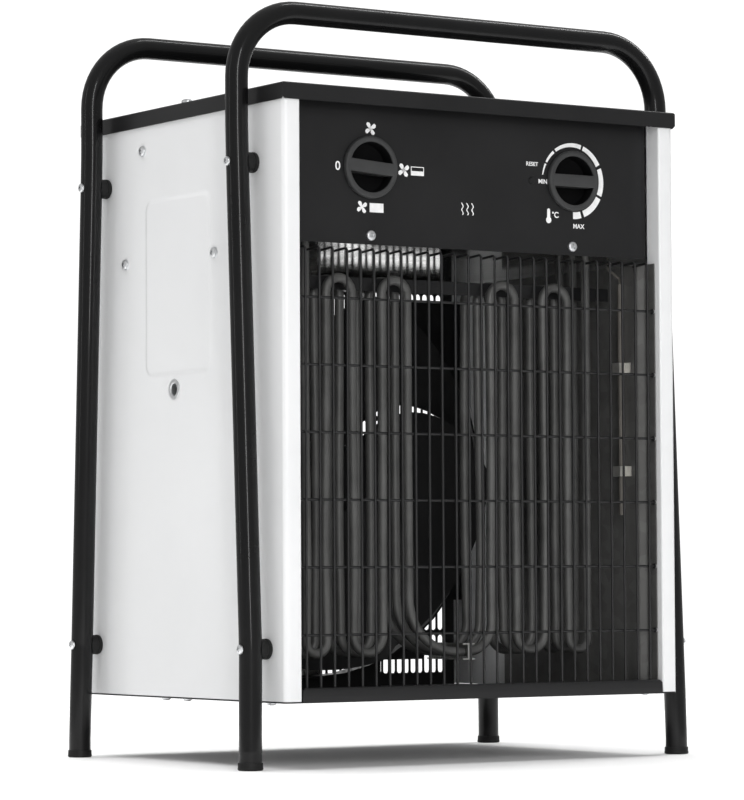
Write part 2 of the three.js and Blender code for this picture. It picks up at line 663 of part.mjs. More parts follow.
function addControls() {
  addPart('selector_knob', knobGeometry(-KNOB_X, SELECTOR_REST), 'plastic');
  addPart('thermostat_knob', knobGeometry(KNOB_X, 0), 'plastic');

  const bodyFront = PANEL_Y + KNOB_DEPTH + GAP;
  const bodyY = [bodyFront, CONTROLS_BACK];
  const bore = (x) => rodY(KNOB_SHAFT + 0.4, [bodyFront - 1, bodyFront + 14], x, KNOB_Z, 16);
  const switchBody = box([-KNOB_X - 24, -KNOB_X + 24], bodyY, [KNOB_Z - 24, KNOB_Z + 24]);
  addPart('selector_switch', cut(switchBody, bore(-KNOB_X)), 'creamPlastic');
  const thermostat = box([KNOB_X - 20, KNOB_X + 20], bodyY, [KNOB_Z - 22, KNOB_Z + 22]);
  addPart('thermostat', cut(thermostat, bore(KNOB_X)), 'creamPlastic');

  const cutoutY = PANEL_Y + SHEET + GAP;
  const cutout = join(
    rodY(RESET.body, [cutoutY, cutoutY + RESET.depth], RESET.x, RESET.z, 20),
    rodY(RESET.button, [PANEL_Y - 1, cutoutY + 1], RESET.x, RESET.z, 12),
  );
  addPart('thermal_cutout', cutout, 'blackPlastic');

  const seat = FLOOR_TOP + GAP;
  const relay = CONTACTOR;
  const relayBody = box([-relay.half, relay.half], [relay.front, relay.back], [seat, seat + relay.height]);
  addPart('contactor', relayBody, 'creamPlastic');
  const block = TERMINAL_BLOCK;
  const blockBody = box([block.left, block.right], [block.front, block.back], [seat, seat + block.height]);
  addPart('terminal_block', blockBody, 'blackPlastic');

  const { x, z, thread, nut } = GLAND;
  const gland = turnedY([
    [7, -14], [thread, -14], [thread, GAP], [nut, GAP], [nut, 7], [13.5, 8], [12.5, 17], [7, 19], [7, -14],
  ], 24);
  addPart('cable_gland', gland.translate(x, REAR_Y, z), 'blackPlastic');
}

function addSensor() {
  const { x, y, offset } = SENSOR;
  const bulb = rodZ(2.7, [224, 441], x, y, 10);
  const line = tube(roundCorners(points3(
    [x, y, 436], [x, y, 446], [x - offset, y + offset, 456], [x - offset, y + offset, 520],
    [KNOB_X + 30, y + offset, KNOB_Z], [KNOB_X + 20 + GAP, y + offset, KNOB_Z],
  ), 4, 3), SENSOR.line, 6);
  addPart('thermostat_sensor', join(bulb, line), 'copper');
  for (const [name, z] of [['upper', 362], ['lower', 265]]) {
    const wall = SHIELD_FACE - GAP;
    const profile = bentSheet([
      [wall, y - 12.5], [wall, y - 4.5], [x - 4.2, y - 4.5],
      [x - 4.2, y + 4.5], [wall, y + 4.5], [wall, y + 12.5],
    ], 0, 0.9);
    addPart(`sensor_clip_${name}`, extrudeZ(profile, [z - 4.8, z + 4.8]), 'galvanised');
  }
}

addCasing();
addControlPanel();
addRearPanel();
addHoops();
addHoopFixings();
addGrille();
addElements();
addShields();
addFan();
addControls();
addSensor();

export default heater;
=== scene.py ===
# Fan heater: finer visible pieces, finishes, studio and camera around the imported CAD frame.
# Lengths in the piece code are millimetres along the frame's axes; MM turns them into metres.
import math

import bmesh
import bpy
from mathutils import Matrix, Vector


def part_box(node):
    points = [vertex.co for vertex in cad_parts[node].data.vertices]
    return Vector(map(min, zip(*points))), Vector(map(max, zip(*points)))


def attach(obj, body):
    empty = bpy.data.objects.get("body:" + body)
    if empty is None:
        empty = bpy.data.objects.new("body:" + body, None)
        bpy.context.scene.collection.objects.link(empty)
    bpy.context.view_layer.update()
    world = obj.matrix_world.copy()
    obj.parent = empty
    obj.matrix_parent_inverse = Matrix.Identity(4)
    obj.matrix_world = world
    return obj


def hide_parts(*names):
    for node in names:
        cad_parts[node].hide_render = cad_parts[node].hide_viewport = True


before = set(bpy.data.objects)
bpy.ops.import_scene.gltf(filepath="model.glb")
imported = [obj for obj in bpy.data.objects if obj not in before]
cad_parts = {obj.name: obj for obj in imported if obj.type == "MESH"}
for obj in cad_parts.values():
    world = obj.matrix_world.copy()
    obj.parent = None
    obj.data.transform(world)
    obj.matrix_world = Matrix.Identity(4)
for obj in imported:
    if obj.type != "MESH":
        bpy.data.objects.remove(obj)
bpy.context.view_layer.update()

MM = 0.001
TAU = 2 * math.pi
SIDES = (("left", -1), ("right", 1))
ENDS = (("front", -1), ("rear", 1))


def corner(node, which):
    """A CAD node's lowest (0) or highest (1) corner in millimetres."""
    return [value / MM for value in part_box(node)[which]]


# ---------------- dimensions
SHEET = 1.2
HALF_W, HALF_D, WALL_TOP = corner("side_panel_right", 1)
WALL_BOTTOM = corner("side_panel_right", 0)[2]
FLANGE_WIDTH = 17
FLANGE_RETURN = 18.5
OPENING_X = HALF_W - FLANGE_WIDTH
CASING_BOTTOM = corner("bottom_tray", 0)[2]
LIP_TOP = corner("bottom_tray", 1)[2]
COVER_HALF_X, COVER_HALF_Y, COVER_TOP = corner("top_cover", 1)
RIM_BOTTOM = corner("top_cover", 0)[2]
PANEL_Y = corner("control_panel", 0)[1]
REAR_Y = corner("rear_panel", 1)[1]
REAR_SIDE = corner("rear_panel", 1)[0]
TUBE_RADIUS = 10.2
HOOP_Z = corner("front_hoop", 1)[2] - TUBE_RADIUS
LEG_X = 232.8
FOOT_X, FOOT_Y = 234.4, 152.6
FOOT_END_Z, FOOT_BEND_Z = 2.5, 16.0
UPPER_SCREW = (131.7, 533.0)
LOWER_SCREW = (150.8, 105.0)
HOOP_TOP_Y = 130.6
HOOP_KINK_Z = 566.0
LEG_RADII = [60, 120, 300, 300, 61.5]
HEAD_SEAT = LEG_X + TUBE_RADIUS
HEAD_RADIUS, HEAD_HEIGHT = 4.2, 2.7
HEAD_RIM, HEAD_CROWN = 0.42, 0.58
RECESS_REACH, RECESS_HALF, RECESS_FLOOR = 0.55, 0.12, 0.45
RECESS_TURN = 20
SHANK_RADIUS, SHANK_LENGTH = 2.1, 30
SHANK_PAST_HEAD = 0.4
NUT_RADIUS, NUT_HEIGHT = 4.4, 3.2
NUT_GAP = 0.4
SPACER_PROFILE = [
    (0, 0), (8.2, 0), (8.9, 0.5), (9.2, 1.4), (9.2, 3.2), (8.6, 3.7), (8.6, 4.3), (9.0, 4.8),
    (9.0, 11.5), (0, 11.5),
]
SPACER_GAP = 0.2
FOOT_CAP_PROFILE = [
    (0, 0), (9.6, 0), (10.6, 0.35), (11.2, 1.0), (11.3, 1.8), (11.05, 2.6), (11.0, 6.2), (10.8, 6.7),
    (10.4, 6.8), (10.35, 2.2), (0, 2.2),
]
WIRE_RADIUS = 1.15
GRILLE_Y = -172.0
GRILLE_PITCH = 14.52
GRILLE_COUNT = 27
GRILLE_ROWS = [413.2 - 59.3 * row for row in range(6)]
GRILLE_TOP = corner("front_grille", 1)[2]
WELD = 0.3
WIRE_FOOT_GAP, WIRE_END_GAP = 0.6, 0.8
WIRE_TAIL, WIRE_TAIL_DROP, WIRE_BEND = 20, 1.6, 3.2
WIRE_SWAY = 0.35
BEAD_INSET, BEAD_SETBACK = 1.9, 0.8
BEAD_PROFILE = [(0, 0), (2.2, 0), (2.6, 0.5), (2.2, 1.2), (0, 1.5)]
ELEMENT_RADIUS = 4.3
ELEMENT_LEGS = (-156, -134, -106, -74, -46, 46, 74, 106, 134, 156)
LOOP_LEG = -46
LOOP_LEFT_RADIUS, LOOP_RIGHT_RADIUS = 50, 26
ELEMENT_STEP = 28
SWAY_X, SWAY_Y = 1.5, 1.3
SWAY_FADE_TOP, SWAY_FADE_BOTTOM = 200, 90
ELEMENT_ROWS = (-120.0, -100.0, -80.0)
ELEMENT_TOP = 436.0
ELEMENT_BOTTOM = 99.0
ELEMENT_END = corner("heating_element_1", 1)[2]
KNOB_X, KNOB_Z = 112.0, 532.0
SCALE_X = 113.0
SELECTOR_REST = 0.07
KNOB_PROFILE = [
    (0, -12.8), (23.4, -12.8), (23.4, -0.6), (27.2, -0.6), (27.9, 0.1), (28.0, 0.8), (27.9, 3.2), (27.3, 4.1),
    (26.4, 4.5), (23.9, 4.5), (23.0, 4.1), (22.6, 3.2), (22.1, -9.2), (20.5, -10.0), (0, -10.0),
]
# The knob's well inside this radius and between these depths is painted near-black as shade.
WELL_RADIUS = 22.7
WELL_DEPTHS = (-12, 3.4)
GRIP_HALF = 5.3
GRIP_RADIUS = 24.6
GRIP_MEETS = 22.9
GRIP_DEPTHS = (-10.2, 4.52)
GRIP_EDGE = 0.9
INSERT = (9.0, 339.0)
INSERT_HOLE_RADIUS = 6.3
INSERT_HOLE_REACH = 5
STUD_DEPTH = 5.8
EYELET_PROFILE = [
    (0, -7.2), (5.9, -7.2), (6.2, -6.8), (6.2, 0), (9.1, 0), (9.4, 0.35), (9.1, 0.8), (6.9, 1.15), (6.1, 0.9),
    (5.5, 0.1), (5.4, -5.8), (0, -5.8),
]
FAN_Y, FAN_Z = 90.0, 262.0
FAN_BLADES = 5
BLADE_RADII = [34 + 10 * i for i in range(16)]
BLADE_CHORD_POINTS = 17
BLADE_TURN = 0.068
BLADE_SWEEP = 0.8
BLADE_THICKNESS = 2.0
BLADE_HALF_ANGLE, BLADE_HALF_TAPER = 0.6, 0.02
BLADE_PITCH, BLADE_PITCH_LOSS = 0.42, 0.22
BLADE_FLATTENING = 0.55
BLADE_CAMBER = 4.0
BLADE_REACH = 20.0
HUB_PROFILE = [(0, -16), (27, -16), (32, -14.5), (35, -11.5), (36, -8), (36, 12), (0, 12)]
SHAFT_RADIUS, SHAFT_LENGTH = 4, 32


# ---------------- finishes
NOISE_ROUGHNESS = 0.55
PEEL_SCALE = 170.0
WAVE_SCALE = 26.0
SPANGLE_SCALE = 95.0
SHEET_GRAIN_SCALE, SHEET_GRAIN_DEPTH = 1400.0, 0.008


def new_material(name):
    material = bpy.data.materials.new(name)
    material.use_nodes = True
    tree = material.node_tree
    return material, tree, tree.nodes["Principled BSDF"]


def fill(node, values):
    for name, value in values.items():
        node.inputs[name].default_value = value


def object_coordinates(tree, node):
    tree.links.new(tree.nodes.new("ShaderNodeTexCoord").outputs["Object"], node.inputs["Vector"])


def noise(tree, scale, detail):
    texture = tree.nodes.new("ShaderNodeTexNoise")
    fill(texture, {"Scale": scale, "Detail": detail, "Roughness": NOISE_ROUGHNESS})
    object_coordinates(tree, texture)
    return texture.outputs["Fac"]


def ranged(tree, output, low, high, start=0.3, end=0.7):
    spread = tree.nodes.new("ShaderNodeMapRange")
    fill(spread, {"From Min": start, "From Max": end, "To Min": low, "To Max": high})
    tree.links.new(output, spread.inputs["Value"])
    return spread.outputs["Result"]


def blended(tree, output, dark, light, low=0.3, high=0.7):
    ramp = tree.nodes.new("ShaderNodeValToRGB")
    for element, position, colour in zip(ramp.color_ramp.elements, (low, high), (dark, light)):
        element.position = position
        element.color = (*colour, 1)
    tree.links.new(output, ramp.inputs["Fac"])
    return ramp.outputs["Color"]


def bumped(tree, shader, heights):
    """Chains bumps of (output, strength, distance in millimetres)."""
    previous = None
    for output, strength, distance in heights:
        bump = tree.nodes.new("ShaderNodeBump")
        fill(bump, {"Strength": strength, "Distance": distance * MM})
        tree.links.new(output, bump.inputs["Height"])
        if previous is not None:
            tree.links.new(previous.outputs["Normal"], bump.inputs["Normal"])
        previous = bump
    tree.links.new(previous.outputs["Normal"], shader.inputs["Normal"])


def surface(name, dark, light, rough, metallic=0.0, patch=9.0, grain=900.0, depth=0.04,
            peel=0.0, coat=0.0, coat_roughness=0.1, specular=0.5):
    """A finish with patchy colour and roughness, a fine grain and a longer orange-peel wave."""
    material, tree, shader = new_material(name)
    patches = noise(tree, patch, 4.0)
    fine = noise(tree, grain, 2.0)
    tree.links.new(blended(tree, patches, dark, light), shader.inputs["Base Color"])
    tree.links.new(ranged(tree, patches, *rough), shader.inputs["Roughness"])
    heights = [(fine, 0.6, depth)]
    if peel:
        heights.append((noise(tree, PEEL_SCALE, 1.0), 0.5, peel))
    bumped(tree, shader, heights)
    fill(shader, {"Metallic": metallic, "Specular IOR Level": specular,
                  "Coat Weight": coat, "Coat Roughness": coat_roughness})
    return material


def spangled(name, dark, light, rough, wave_depth, metallic=1.0):
    """Galvanised sheet: crystal patches that differ in tone and gloss, over a faint rolling grain."""
    material, tree, shader = new_material(name)
    cells = tree.nodes.new("ShaderNodeTexVoronoi")
    fill(cells, {"Scale": SPANGLE_SCALE})
    object_coordinates(tree, cells)
    tone = tree.nodes.new("ShaderNodeSeparateColor")
    tree.links.new(cells.outputs["Color"], tone.inputs["Color"])
    tree.links.new(blended(tree, tone.outputs["Red"], dark, light, 0.0, 1.0), shader.inputs["Base Color"])
    tree.links.new(ranged(tree, tone.outputs["Green"], *rough, 0.0, 1.0), shader.inputs["Roughness"])
    waves = noise(tree, WAVE_SCALE, 2.0)
    grain = noise(tree, SHEET_GRAIN_SCALE, 2.0)
    bumped(tree, shader, [(waves, 0.35, wave_depth), (grain, 0.3, SHEET_GRAIN_DEPTH)])
    fill(shader, {"Metallic": metallic})
    return material


LOOKS = {
    "white_paint": surface("white powder coat", (0.76, 0.765, 0.77), (0.8, 0.805, 0.81), (0.2, 0.27),
                           patch=5.0, grain=650.0, depth=0.02, peel=0.012, coat=0.25),
    "black_paint": surface("black powder coat", (0.0105, 0.0105, 0.011), (0.0145, 0.0145, 0.015),
                           (0.34, 0.42), patch=12.0, grain=1100.0, depth=0.02, peel=0.006,
                           specular=0.2, coat=0.12, coat_roughness=0.14),
    "tube_paint": surface("black tube coat", (0.004, 0.004, 0.0042), (0.006, 0.006, 0.0062), (0.26, 0.34),
                          patch=14.0, grain=900.0, depth=0.01, peel=0.005, specular=0.12,
                          coat=0.3, coat_roughness=0.07),
    "black_wire": surface("coated wire", (0.007, 0.007, 0.0075), (0.012, 0.012, 0.0125), (0.3, 0.42),
                          patch=60.0, grain=1500.0, depth=0.03, specular=0.4),
    "rubber": surface("moulded rubber", (0.007, 0.007, 0.007), (0.011, 0.011, 0.011), (0.5, 0.62),
                      patch=40.0, grain=1800.0, depth=0.05, specular=0.25),
    "screw_steel": surface("zinc plate", (0.68, 0.69, 0.7), (0.82, 0.83, 0.84), (0.32, 0.44),
                           metallic=1.0, patch=260.0, grain=2400.0, depth=0.02),
    "element_sheath": surface("heated steel sheath", (0.082, 0.082, 0.08), (0.13, 0.13, 0.127),
                              (0.42, 0.54), metallic=0.45, patch=34.0, grain=1300.0, depth=0.05),
    "knob_plastic": surface("grained plastic", (0.037, 0.0375, 0.038), (0.045, 0.0455, 0.046), (0.46, 0.56),
                            patch=70.0, grain=2100.0, depth=0.09, specular=0.3),
    # Painted shade: the knob's well gets the same plastic, darker and less glossy, standing in for the shadow
    # inside it.
    "painted_shade_well": surface("shadowed plastic", (0.003, 0.003, 0.0032), (0.0045, 0.0045, 0.0048), (0.6, 0.7),
                         patch=70.0, grain=2100.0, depth=0.06, specular=0.08),
    "black_plastic": surface("moulded black plastic", (0.008, 0.008, 0.0085), (0.012, 0.012, 0.0125),
                             (0.42, 0.52), patch=50.0, grain=1700.0, depth=0.06, specular=0.3),
    "motor_casting": surface("cast aluminium", (0.3, 0.305, 0.31), (0.42, 0.425, 0.43), (0.42, 0.58),
                             metallic=0.9, patch=60.0, grain=700.0, depth=0.2),
    "copper": surface("capillary tube", (0.17, 0.16, 0.145), (0.24, 0.225, 0.205), (0.36, 0.46),
                      metallic=0.9, patch=50.0, grain=1500.0, depth=0.015),
    "cream_plastic": surface("cream moulding", (0.55, 0.53, 0.46), (0.64, 0.62, 0.55), (0.4, 0.5),
                             patch=45.0, grain=1500.0, depth=0.05),
    "galvanised": spangled("galvanised sheet", (0.3, 0.3, 0.29), (0.44, 0.44, 0.425), (0.2, 0.34), 0.3),
    "bright_sheet": spangled("bright sheet", (0.6, 0.6, 0.58), (0.72, 0.72, 0.7), (0.09, 0.14), 0.06),
    "tinted_sheet": spangled("heat-tinted sheet", (0.115, 0.114, 0.11), (0.145, 0.144, 0.14), (0.44, 0.52),
                             0.2, 0.35),
    "clip_steel": surface("spring clip steel", (0.5, 0.49, 0.46), (0.62, 0.61, 0.58), (0.3, 0.42),
                          metallic=0.8, patch=120.0, grain=1500.0, depth=0.02),
    "ink": surface("printed ink", (0.8, 0.8, 0.8), (0.9, 0.9, 0.9), (0.5, 0.6),
                   patch=220.0, grain=2600.0, depth=0.015),
}


# ---------------- shapes
NEARLY_STRAIGHT = 0.002
MERGE_DISTANCE = 1e-6


class Shape:
    """Vertices and faces in millimetres, gathered before they become one piece."""

    def __init__(self):
        self.vertices = []
        self.faces = []
        self.looks = []

    def add(self, vertices, faces, matrix=None):
        start = len(self.vertices)
        for vertex in vertices:
            point = Vector(vertex)
            self.vertices.append(matrix @ point if matrix is not None else point)
        self.faces.extend([tuple(index + start for index in face) for face in faces])
        self.looks.extend([0] * len(faces))
        return self

    def copy_of(self, other, matrix):
        return self.add(other.vertices, other.faces, matrix)


def linked(name, data):
    """A new object that holds the data, linked into the scene."""
    thing = bpy.data.objects.new(name, data)
    bpy.context.scene.collection.objects.link(thing)
    return thing


def bare_object(name, shape, sharp_degrees=35.0):
    mesh = bpy.data.meshes.new(name)
    mesh.from_pydata([tuple(v * MM for v in vertex) for vertex in shape.vertices], [], shape.faces)
    for polygon, look in zip(mesh.polygons, shape.looks):
        polygon.material_index = look
    work = bmesh.new()
    work.from_mesh(mesh)
    bmesh.ops.remove_doubles(work, verts=work.verts, dist=MERGE_DISTANCE)
    bmesh.ops.recalc_face_normals(work, faces=work.faces)
    work.to_mesh(mesh)
    work.free()
    smooth_shade(mesh, sharp_degrees)
    return linked(name, mesh)


def smooth_shade(mesh, sharp_degrees):
    mesh.polygons.foreach_set("use_smooth", [True] * len(mesh.polygons))
    mesh.set_sharp_from_angle(angle=math.radians(sharp_degrees))


def add_bevel(piece, width, segments=2, degrees=40.0):
    bevel = piece.modifiers.new("bevel", "BEVEL")
    bevel.width = width * MM
    bevel.segments = segments
    bevel.limit_method = "ANGLE"
    bevel.angle_limit = math.radians(degrees)


def thicken(piece, thickness):
    solid = piece.modifiers.new("thickness", "SOLIDIFY")
    solid.thickness = thickness * MM
    return solid


def bake_modifiers(piece, sharp_degrees=35.0):
    graph = bpy.context.evaluated_depsgraph_get()
    mesh = bpy.data.meshes.new_from_object(piece.evaluated_get(graph))
    piece.modifiers.clear()
    piece.data = mesh
    smooth_shade(mesh, sharp_degrees)


def carve(piece, cutters, sharp_degrees=35.0):
    """Cuts the closed shape `cutters` out of a piece."""
    tool = bare_object("cutter", cutters)
    cut = piece.modifiers.new("cut", "BOOLEAN")
    cut.operation = "DIFFERENCE"
    cut.solver = "EXACT"
    cut.object = tool
    bake_modifiers(piece, sharp_degrees)
    bpy.data.objects.remove(tool)


def settle(piece, slot, body="casing", stands_for=None, looks=()):
    """Gives a piece its looks (its slot's own, unless others are named) and body, and hides the CAD node it
    stands for.
    """
    for look in looks or [slot]:
        piece.data.materials.append(LOOKS[look])
    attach(piece, body)
    if stands_for:
        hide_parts(stands_for)


def lathe(profile, sides=48):
    """A closed solid of (radius, height) points turned about Z; it starts and ends on the axis."""
    vertices = []
    rings = []
    for radius, height in profile:
        if radius == 0:
            rings.append([len(vertices)] * sides)
            vertices.append((0, 0, height))
            continue
        rings.append(list(range(len(vertices), len(vertices) + sides)))
        vertices.extend((x, y, height) for x, y in arc((0, 0), radius, 0, 360, sides)[:-1])
    return vertices, skin(rings)


def skin(rings):
    """Faces between rings of vertex numbers, closed round each ring."""
    faces = []
    for low, high in zip(rings, rings[1:]):
        for i in range(len(low)):
            j = (i + 1) % len(low)
            unique = list(dict.fromkeys([low[i], low[j], high[j], high[i]]))
            if len(unique) > 2:
                faces.append(tuple(unique))
    return faces


def rod(radius, low, high, sides):
    return lathe([(0, low), (radius, low), (radius, high), (0, high)], sides)


def collar(inner, outer, low, high, sides):
    return lathe([(inner, low), (outer, low), (outer, high), (inner, high), (inner, low)], sides)


def prism(outline, low, high):
    """An outline of (x, y) pushed from z low to z high."""
    count = len(outline)
    vertices = [(x, y, low) for x, y in outline] + [(x, y, high) for x, y in outline]
    faces = skin([list(range(count)), list(range(count, 2 * count))])
    faces.append(tuple(reversed(range(count))))
    faces.append(tuple(range(count, 2 * count)))
    return vertices, faces


def rectangle(x, y):
    return [(x[0], y[0]), (x[1], y[0]), (x[1], y[1]), (x[0], y[1])]


def block(x, y, z):
    return prism(rectangle(x, y), *z)


def arc(centre, radius, start, end, steps):
    """Points on an arc, angles in degrees."""
    angles = [math.radians(start + (end - start) * i / steps) for i in range(steps + 1)]
    return [(centre[0] + radius * math.cos(a), centre[1] + radius * math.sin(a)) for a in angles]


def rounded_rectangle(x, y, radius, steps=6):
    outline = []
    low_x, high_x, low_y, high_y = x[0] + radius, x[1] - radius, y[0] + radius, y[1] - radius
    for turn, centre in enumerate(((high_x, low_y), (high_x, high_y), (low_x, high_y), (low_x, low_y))):
        outline += arc(centre, radius, 90 * turn - 90, 90 * turn, steps)
    return outline


def round_route(corners, radii, steps):
    """Rounds the inner corners of a 3D route, one radius each."""
    corners = [Vector(point) for point in corners]
    route = [corners[0]]
    for i in range(1, len(corners) - 1):
        here = corners[i]
        radius = radii[i - 1]
        back = (corners[i - 1] - here).normalized()
        ahead = (corners[i + 1] - here).normalized()
        half = back.angle(ahead) / 2
        if radius <= 0 or math.pi / 2 - half < NEARLY_STRAIGHT:
            route.append(here)
            continue
        middle = here + (back + ahead).normalized() * (radius / math.sin(half))
        start = here + back * (radius / math.tan(half)) - middle
        end = here + ahead * (radius / math.tan(half)) - middle
        axis = start.cross(end).normalized()
        sweep_angle = math.pi - 2 * half
        for step in range(steps + 1):
            route.append(middle + Matrix.Rotation(sweep_angle * step / steps, 3, axis) @ start)
    route.append(corners[-1])
    return route


def tube(route, radius, sides):
    """A round bar along a route, with its ends closed."""
    tangents = []
    for i, point in enumerate(route):
        before = route[max(i - 1, 0)]
        after = route[min(i + 1, len(route) - 1)]
        arriving = (point - before).normalized() if i else (after - point).normalized()
        leaving = (after - point).normalized() if i < len(route) - 1 else arriving
        tangents.append((arriving + leaving).normalized())
    side = tangents[0].orthogonal().normalized()
    vertices = []
    rings = []
    for i, point in enumerate(route):
        if i:
            turn = tangents[i - 1].rotation_difference(tangents[i])
            side = (turn @ side).normalized()
        other = tangents[i].cross(side)
        rings.append(list(range(len(vertices), len(vertices) + sides)))
        for k in range(sides):
            angle = TAU * k / sides
            vertices.append(point + radius * (math.cos(angle) * side + math.sin(angle) * other))
    faces = skin(rings)
    faces.append(tuple(reversed(rings[0])))
    faces.append(tuple(rings[-1]))
    return vertices, faces


def sheet(outer, inner):
    """A closed sheet between two equal grids of points."""
    rows, columns = len(outer), len(outer[0])
    vertices = [point for row in outer for point in row] + [point for row in inner for point in row]
    offset = rows * columns

    def at(row, column, side):
        return side * offset + row * columns + column

    faces = []
    for row in range(rows - 1):
        for column in range(columns - 1):
            face = [(row, column), (row, column + 1), (row + 1, column + 1), (row + 1, column)]
            faces.append(tuple(at(r, c, 0) for r, c in face))
            faces.append(tuple(at(r, c, 1) for r, c in reversed(face)))
    for column in range(columns - 1):
        for row, side in ((0, 1), (rows - 1, 0)):
            edge = [(column, side), (column + 1, side), (column + 1, 1 - side), (column, 1 - side)]
            faces.append(tuple(at(row, c, s) for c, s in edge))
    for row in range(rows - 1):
        for column, side in ((0, 0), (columns - 1, 1)):
            edge = [(row, side), (row + 1, side), (row + 1, 1 - side), (row, 1 - side)]
            faces.append(tuple(at(r, column, s) for r, s in edge))
    return vertices, faces


def bent_path(corners, radii, steps):
    """Rounded 2D path and its left-hand normals."""
    route = [Vector((p[0], p[1])) for p in round_route([(u, v, 0) for u, v in corners], radii, steps)]
    normals = []
    for i, point in enumerate(route):
        arriving = (point - route[i - 1]).normalized() if i else (route[1] - point).normalized()
        leaving = (route[i + 1] - point).normalized() if i < len(route) - 1 else arriving
        along = (arriving + leaving).normalized()
        scale = 1 / max(along.dot(arriving), 0.5)
        normals.append(Vector((-along.y, along.x)) * scale)
    return route, normals


def facing_x(hand, x, y, z):
    """Puts a shape that points along +Z at (x, y, z), pointing outwards along hand * X."""
    return Matrix.Translation((hand * x, y, z)) @ Matrix.Rotation(hand * math.pi / 2, 4, "Y")


def facing_front(x, y, z, turn=0.0):
    """Puts a shape that points along +Z at (x, y, z), pointing along -Y."""
    place = Matrix.Translation((x, y, z)) @ Matrix.Rotation(math.pi / 2, 4, "X")
    return place @ Matrix.Rotation(turn, 4, "Z")


def facing_back(x, y, z):
    return Matrix.Translation((x, y, z)) @ Matrix.Rotation(-math.pi / 2, 4, "X")


# ---------------- hoops and fixings
def hoop_route(end):
    leg = [
        (FOOT_X, end * FOOT_Y, FOOT_END_Z), (FOOT_X, end * FOOT_Y, FOOT_BEND_Z),
        (LEG_X, end * LOWER_SCREW[0], LOWER_SCREW[1]), (LEG_X, end * UPPER_SCREW[0], UPPER_SCREW[1]),
        (LEG_X, end * HOOP_TOP_Y, HOOP_KINK_Z), (LEG_X, end * HOOP_TOP_Y, HOOP_Z),
    ]
    left = [(-x, y, z) for x, y, z in leg]
    return round_route(left + leg[::-1], LEG_RADII + LEG_RADII[::-1], 14)


def add_hoops():
    for name, end in ENDS:
        hoop = bare_object(f"{name}_hoop_tube", Shape().add(*tube(hoop_route(end), TUBE_RADIUS, 40)), 50)
        settle(hoop, "black_paint", stands_for=f"{name}_hoop", looks=["tube_paint"])


def screw_head(radius, height):
    """A pan head with a cross recess, pointing along +Z from its seat."""
    angles = [math.radians(degrees) for degrees in range(0, 90, 12)]
    edge = [(radius * math.cos(a), height * (HEAD_RIM + HEAD_CROWN * math.sin(a))) for a in angles]
    head = bare_object("head", Shape().add(*lathe([(0, 0), (radius, 0)] + edge + [(0, height)], 28)))
    reach, half = radius * RECESS_REACH, radius * RECESS_HALF
    wing = block((-reach, reach), (-half, half), (height * RECESS_FLOOR, height + 1))
    for turn in (RECESS_TURN, RECESS_TURN + 90):
        carve(head, Shape().add(*wing, Matrix.Rotation(math.radians(turn), 4, "Z")))
    shape = Shape()
    shape.add([v.co / MM for v in head.data.vertices], [tuple(p.vertices) for p in head.data.polygons])
    bpy.data.objects.remove(head)
    return shape


HEAD = screw_head(HEAD_RADIUS, HEAD_HEIGHT)


def hoop_screw_places():
    for side, hand in SIDES:
        for place, end in ENDS:
            for level, (y, z) in (("upper", UPPER_SCREW), ("lower", LOWER_SCREW)):
                yield f"{place}_{side}_{level}", hand, end * y, z


def add_fixings():
    shank = rod(SHANK_RADIUS, 0, SHANK_LENGTH, 16)
    nut = rod(NUT_RADIUS, 0, NUT_HEIGHT, 6)
    body = lathe(SPACER_PROFILE, 40)
    for place, hand, y, z in hoop_screw_places():
        screw = Shape().copy_of(HEAD, facing_x(hand, HEAD_SEAT, y, z))
        screw.add(*shank, facing_x(hand, HEAD_SEAT - SHANK_LENGTH + SHANK_PAST_HEAD, y, z))
        screw.add(*nut, facing_x(hand, HALF_W - SHEET - NUT_HEIGHT - NUT_GAP, y, z))
        settle(bare_object(f"hoop_screw_{place}_head", screw), "screw_steel",
               stands_for=f"hoop_screw_{place}")

        block_shape = Shape().add(*body, facing_x(hand, HALF_W + SPACER_GAP, y, z))
        spacer = bare_object(f"spacer_{place}_block", block_shape)
        lean = (UPPER_SCREW[0] - LOWER_SCREW[0]) * (1 if y > 0 else -1)
        along = Vector((0, lean, UPPER_SCREW[1] - LOWER_SCREW[1])).normalized()
        centre = Vector((hand * LEG_X, y, z))
        seat = tube([centre - along * 25, centre + along * 25], TUBE_RADIUS + 0.2, 40)
        carve(spacer, Shape().add(*seat))
        settle(spacer, "rubber", stands_for=f"spacer_{place}")

    cap = lathe(FOOT_CAP_PROFILE, 48)
    for side, hand in SIDES:
        for place, end in ENDS:
            foot = Shape().add(*cap, Matrix.Translation((hand * FOOT_X, end * FOOT_Y, 0)))
            settle(bare_object(f"foot_cap_{place}_{side}_round", foot), "rubber",
                   stands_for=f"foot_cap_{place}_{side}")


# ---------------- casing sheets
EMBOSS_Y = (-55.0, 59.0)
EMBOSS_Z = (354.0, 514.0)
EMBOSS_RADIUS = 9.0
EMBOSS_HEIGHT = 1.0
EMBOSS_SLOPE = 3.4
EMBOSS_MARGIN = 4
FINE_PITCH, COARSE_PITCH = 1.7, 30.0
PANEL_BENDS = [2.0, 5.0]


def emboss_height(y, z):
    """Height of the pressed stiffening field: a rounded rectangle with a soft shoulder."""
    half_y = (EMBOSS_Y[1] - EMBOSS_Y[0]) / 2
    half_z = (EMBOSS_Z[1] - EMBOSS_Z[0]) / 2
    over_y = abs(y - sum(EMBOSS_Y) / 2) - half_y + EMBOSS_RADIUS
    over_z = abs(z - sum(EMBOSS_Z) / 2) - half_z + EMBOSS_RADIUS
    outside = math.hypot(max(over_y, 0), max(over_z, 0)) + min(max(over_y, over_z), 0) - EMBOSS_RADIUS
    t = min(max(0.5 - outside / EMBOSS_SLOPE, 0), 1)
    return EMBOSS_HEIGHT * t * t * (3 - 2 * t)


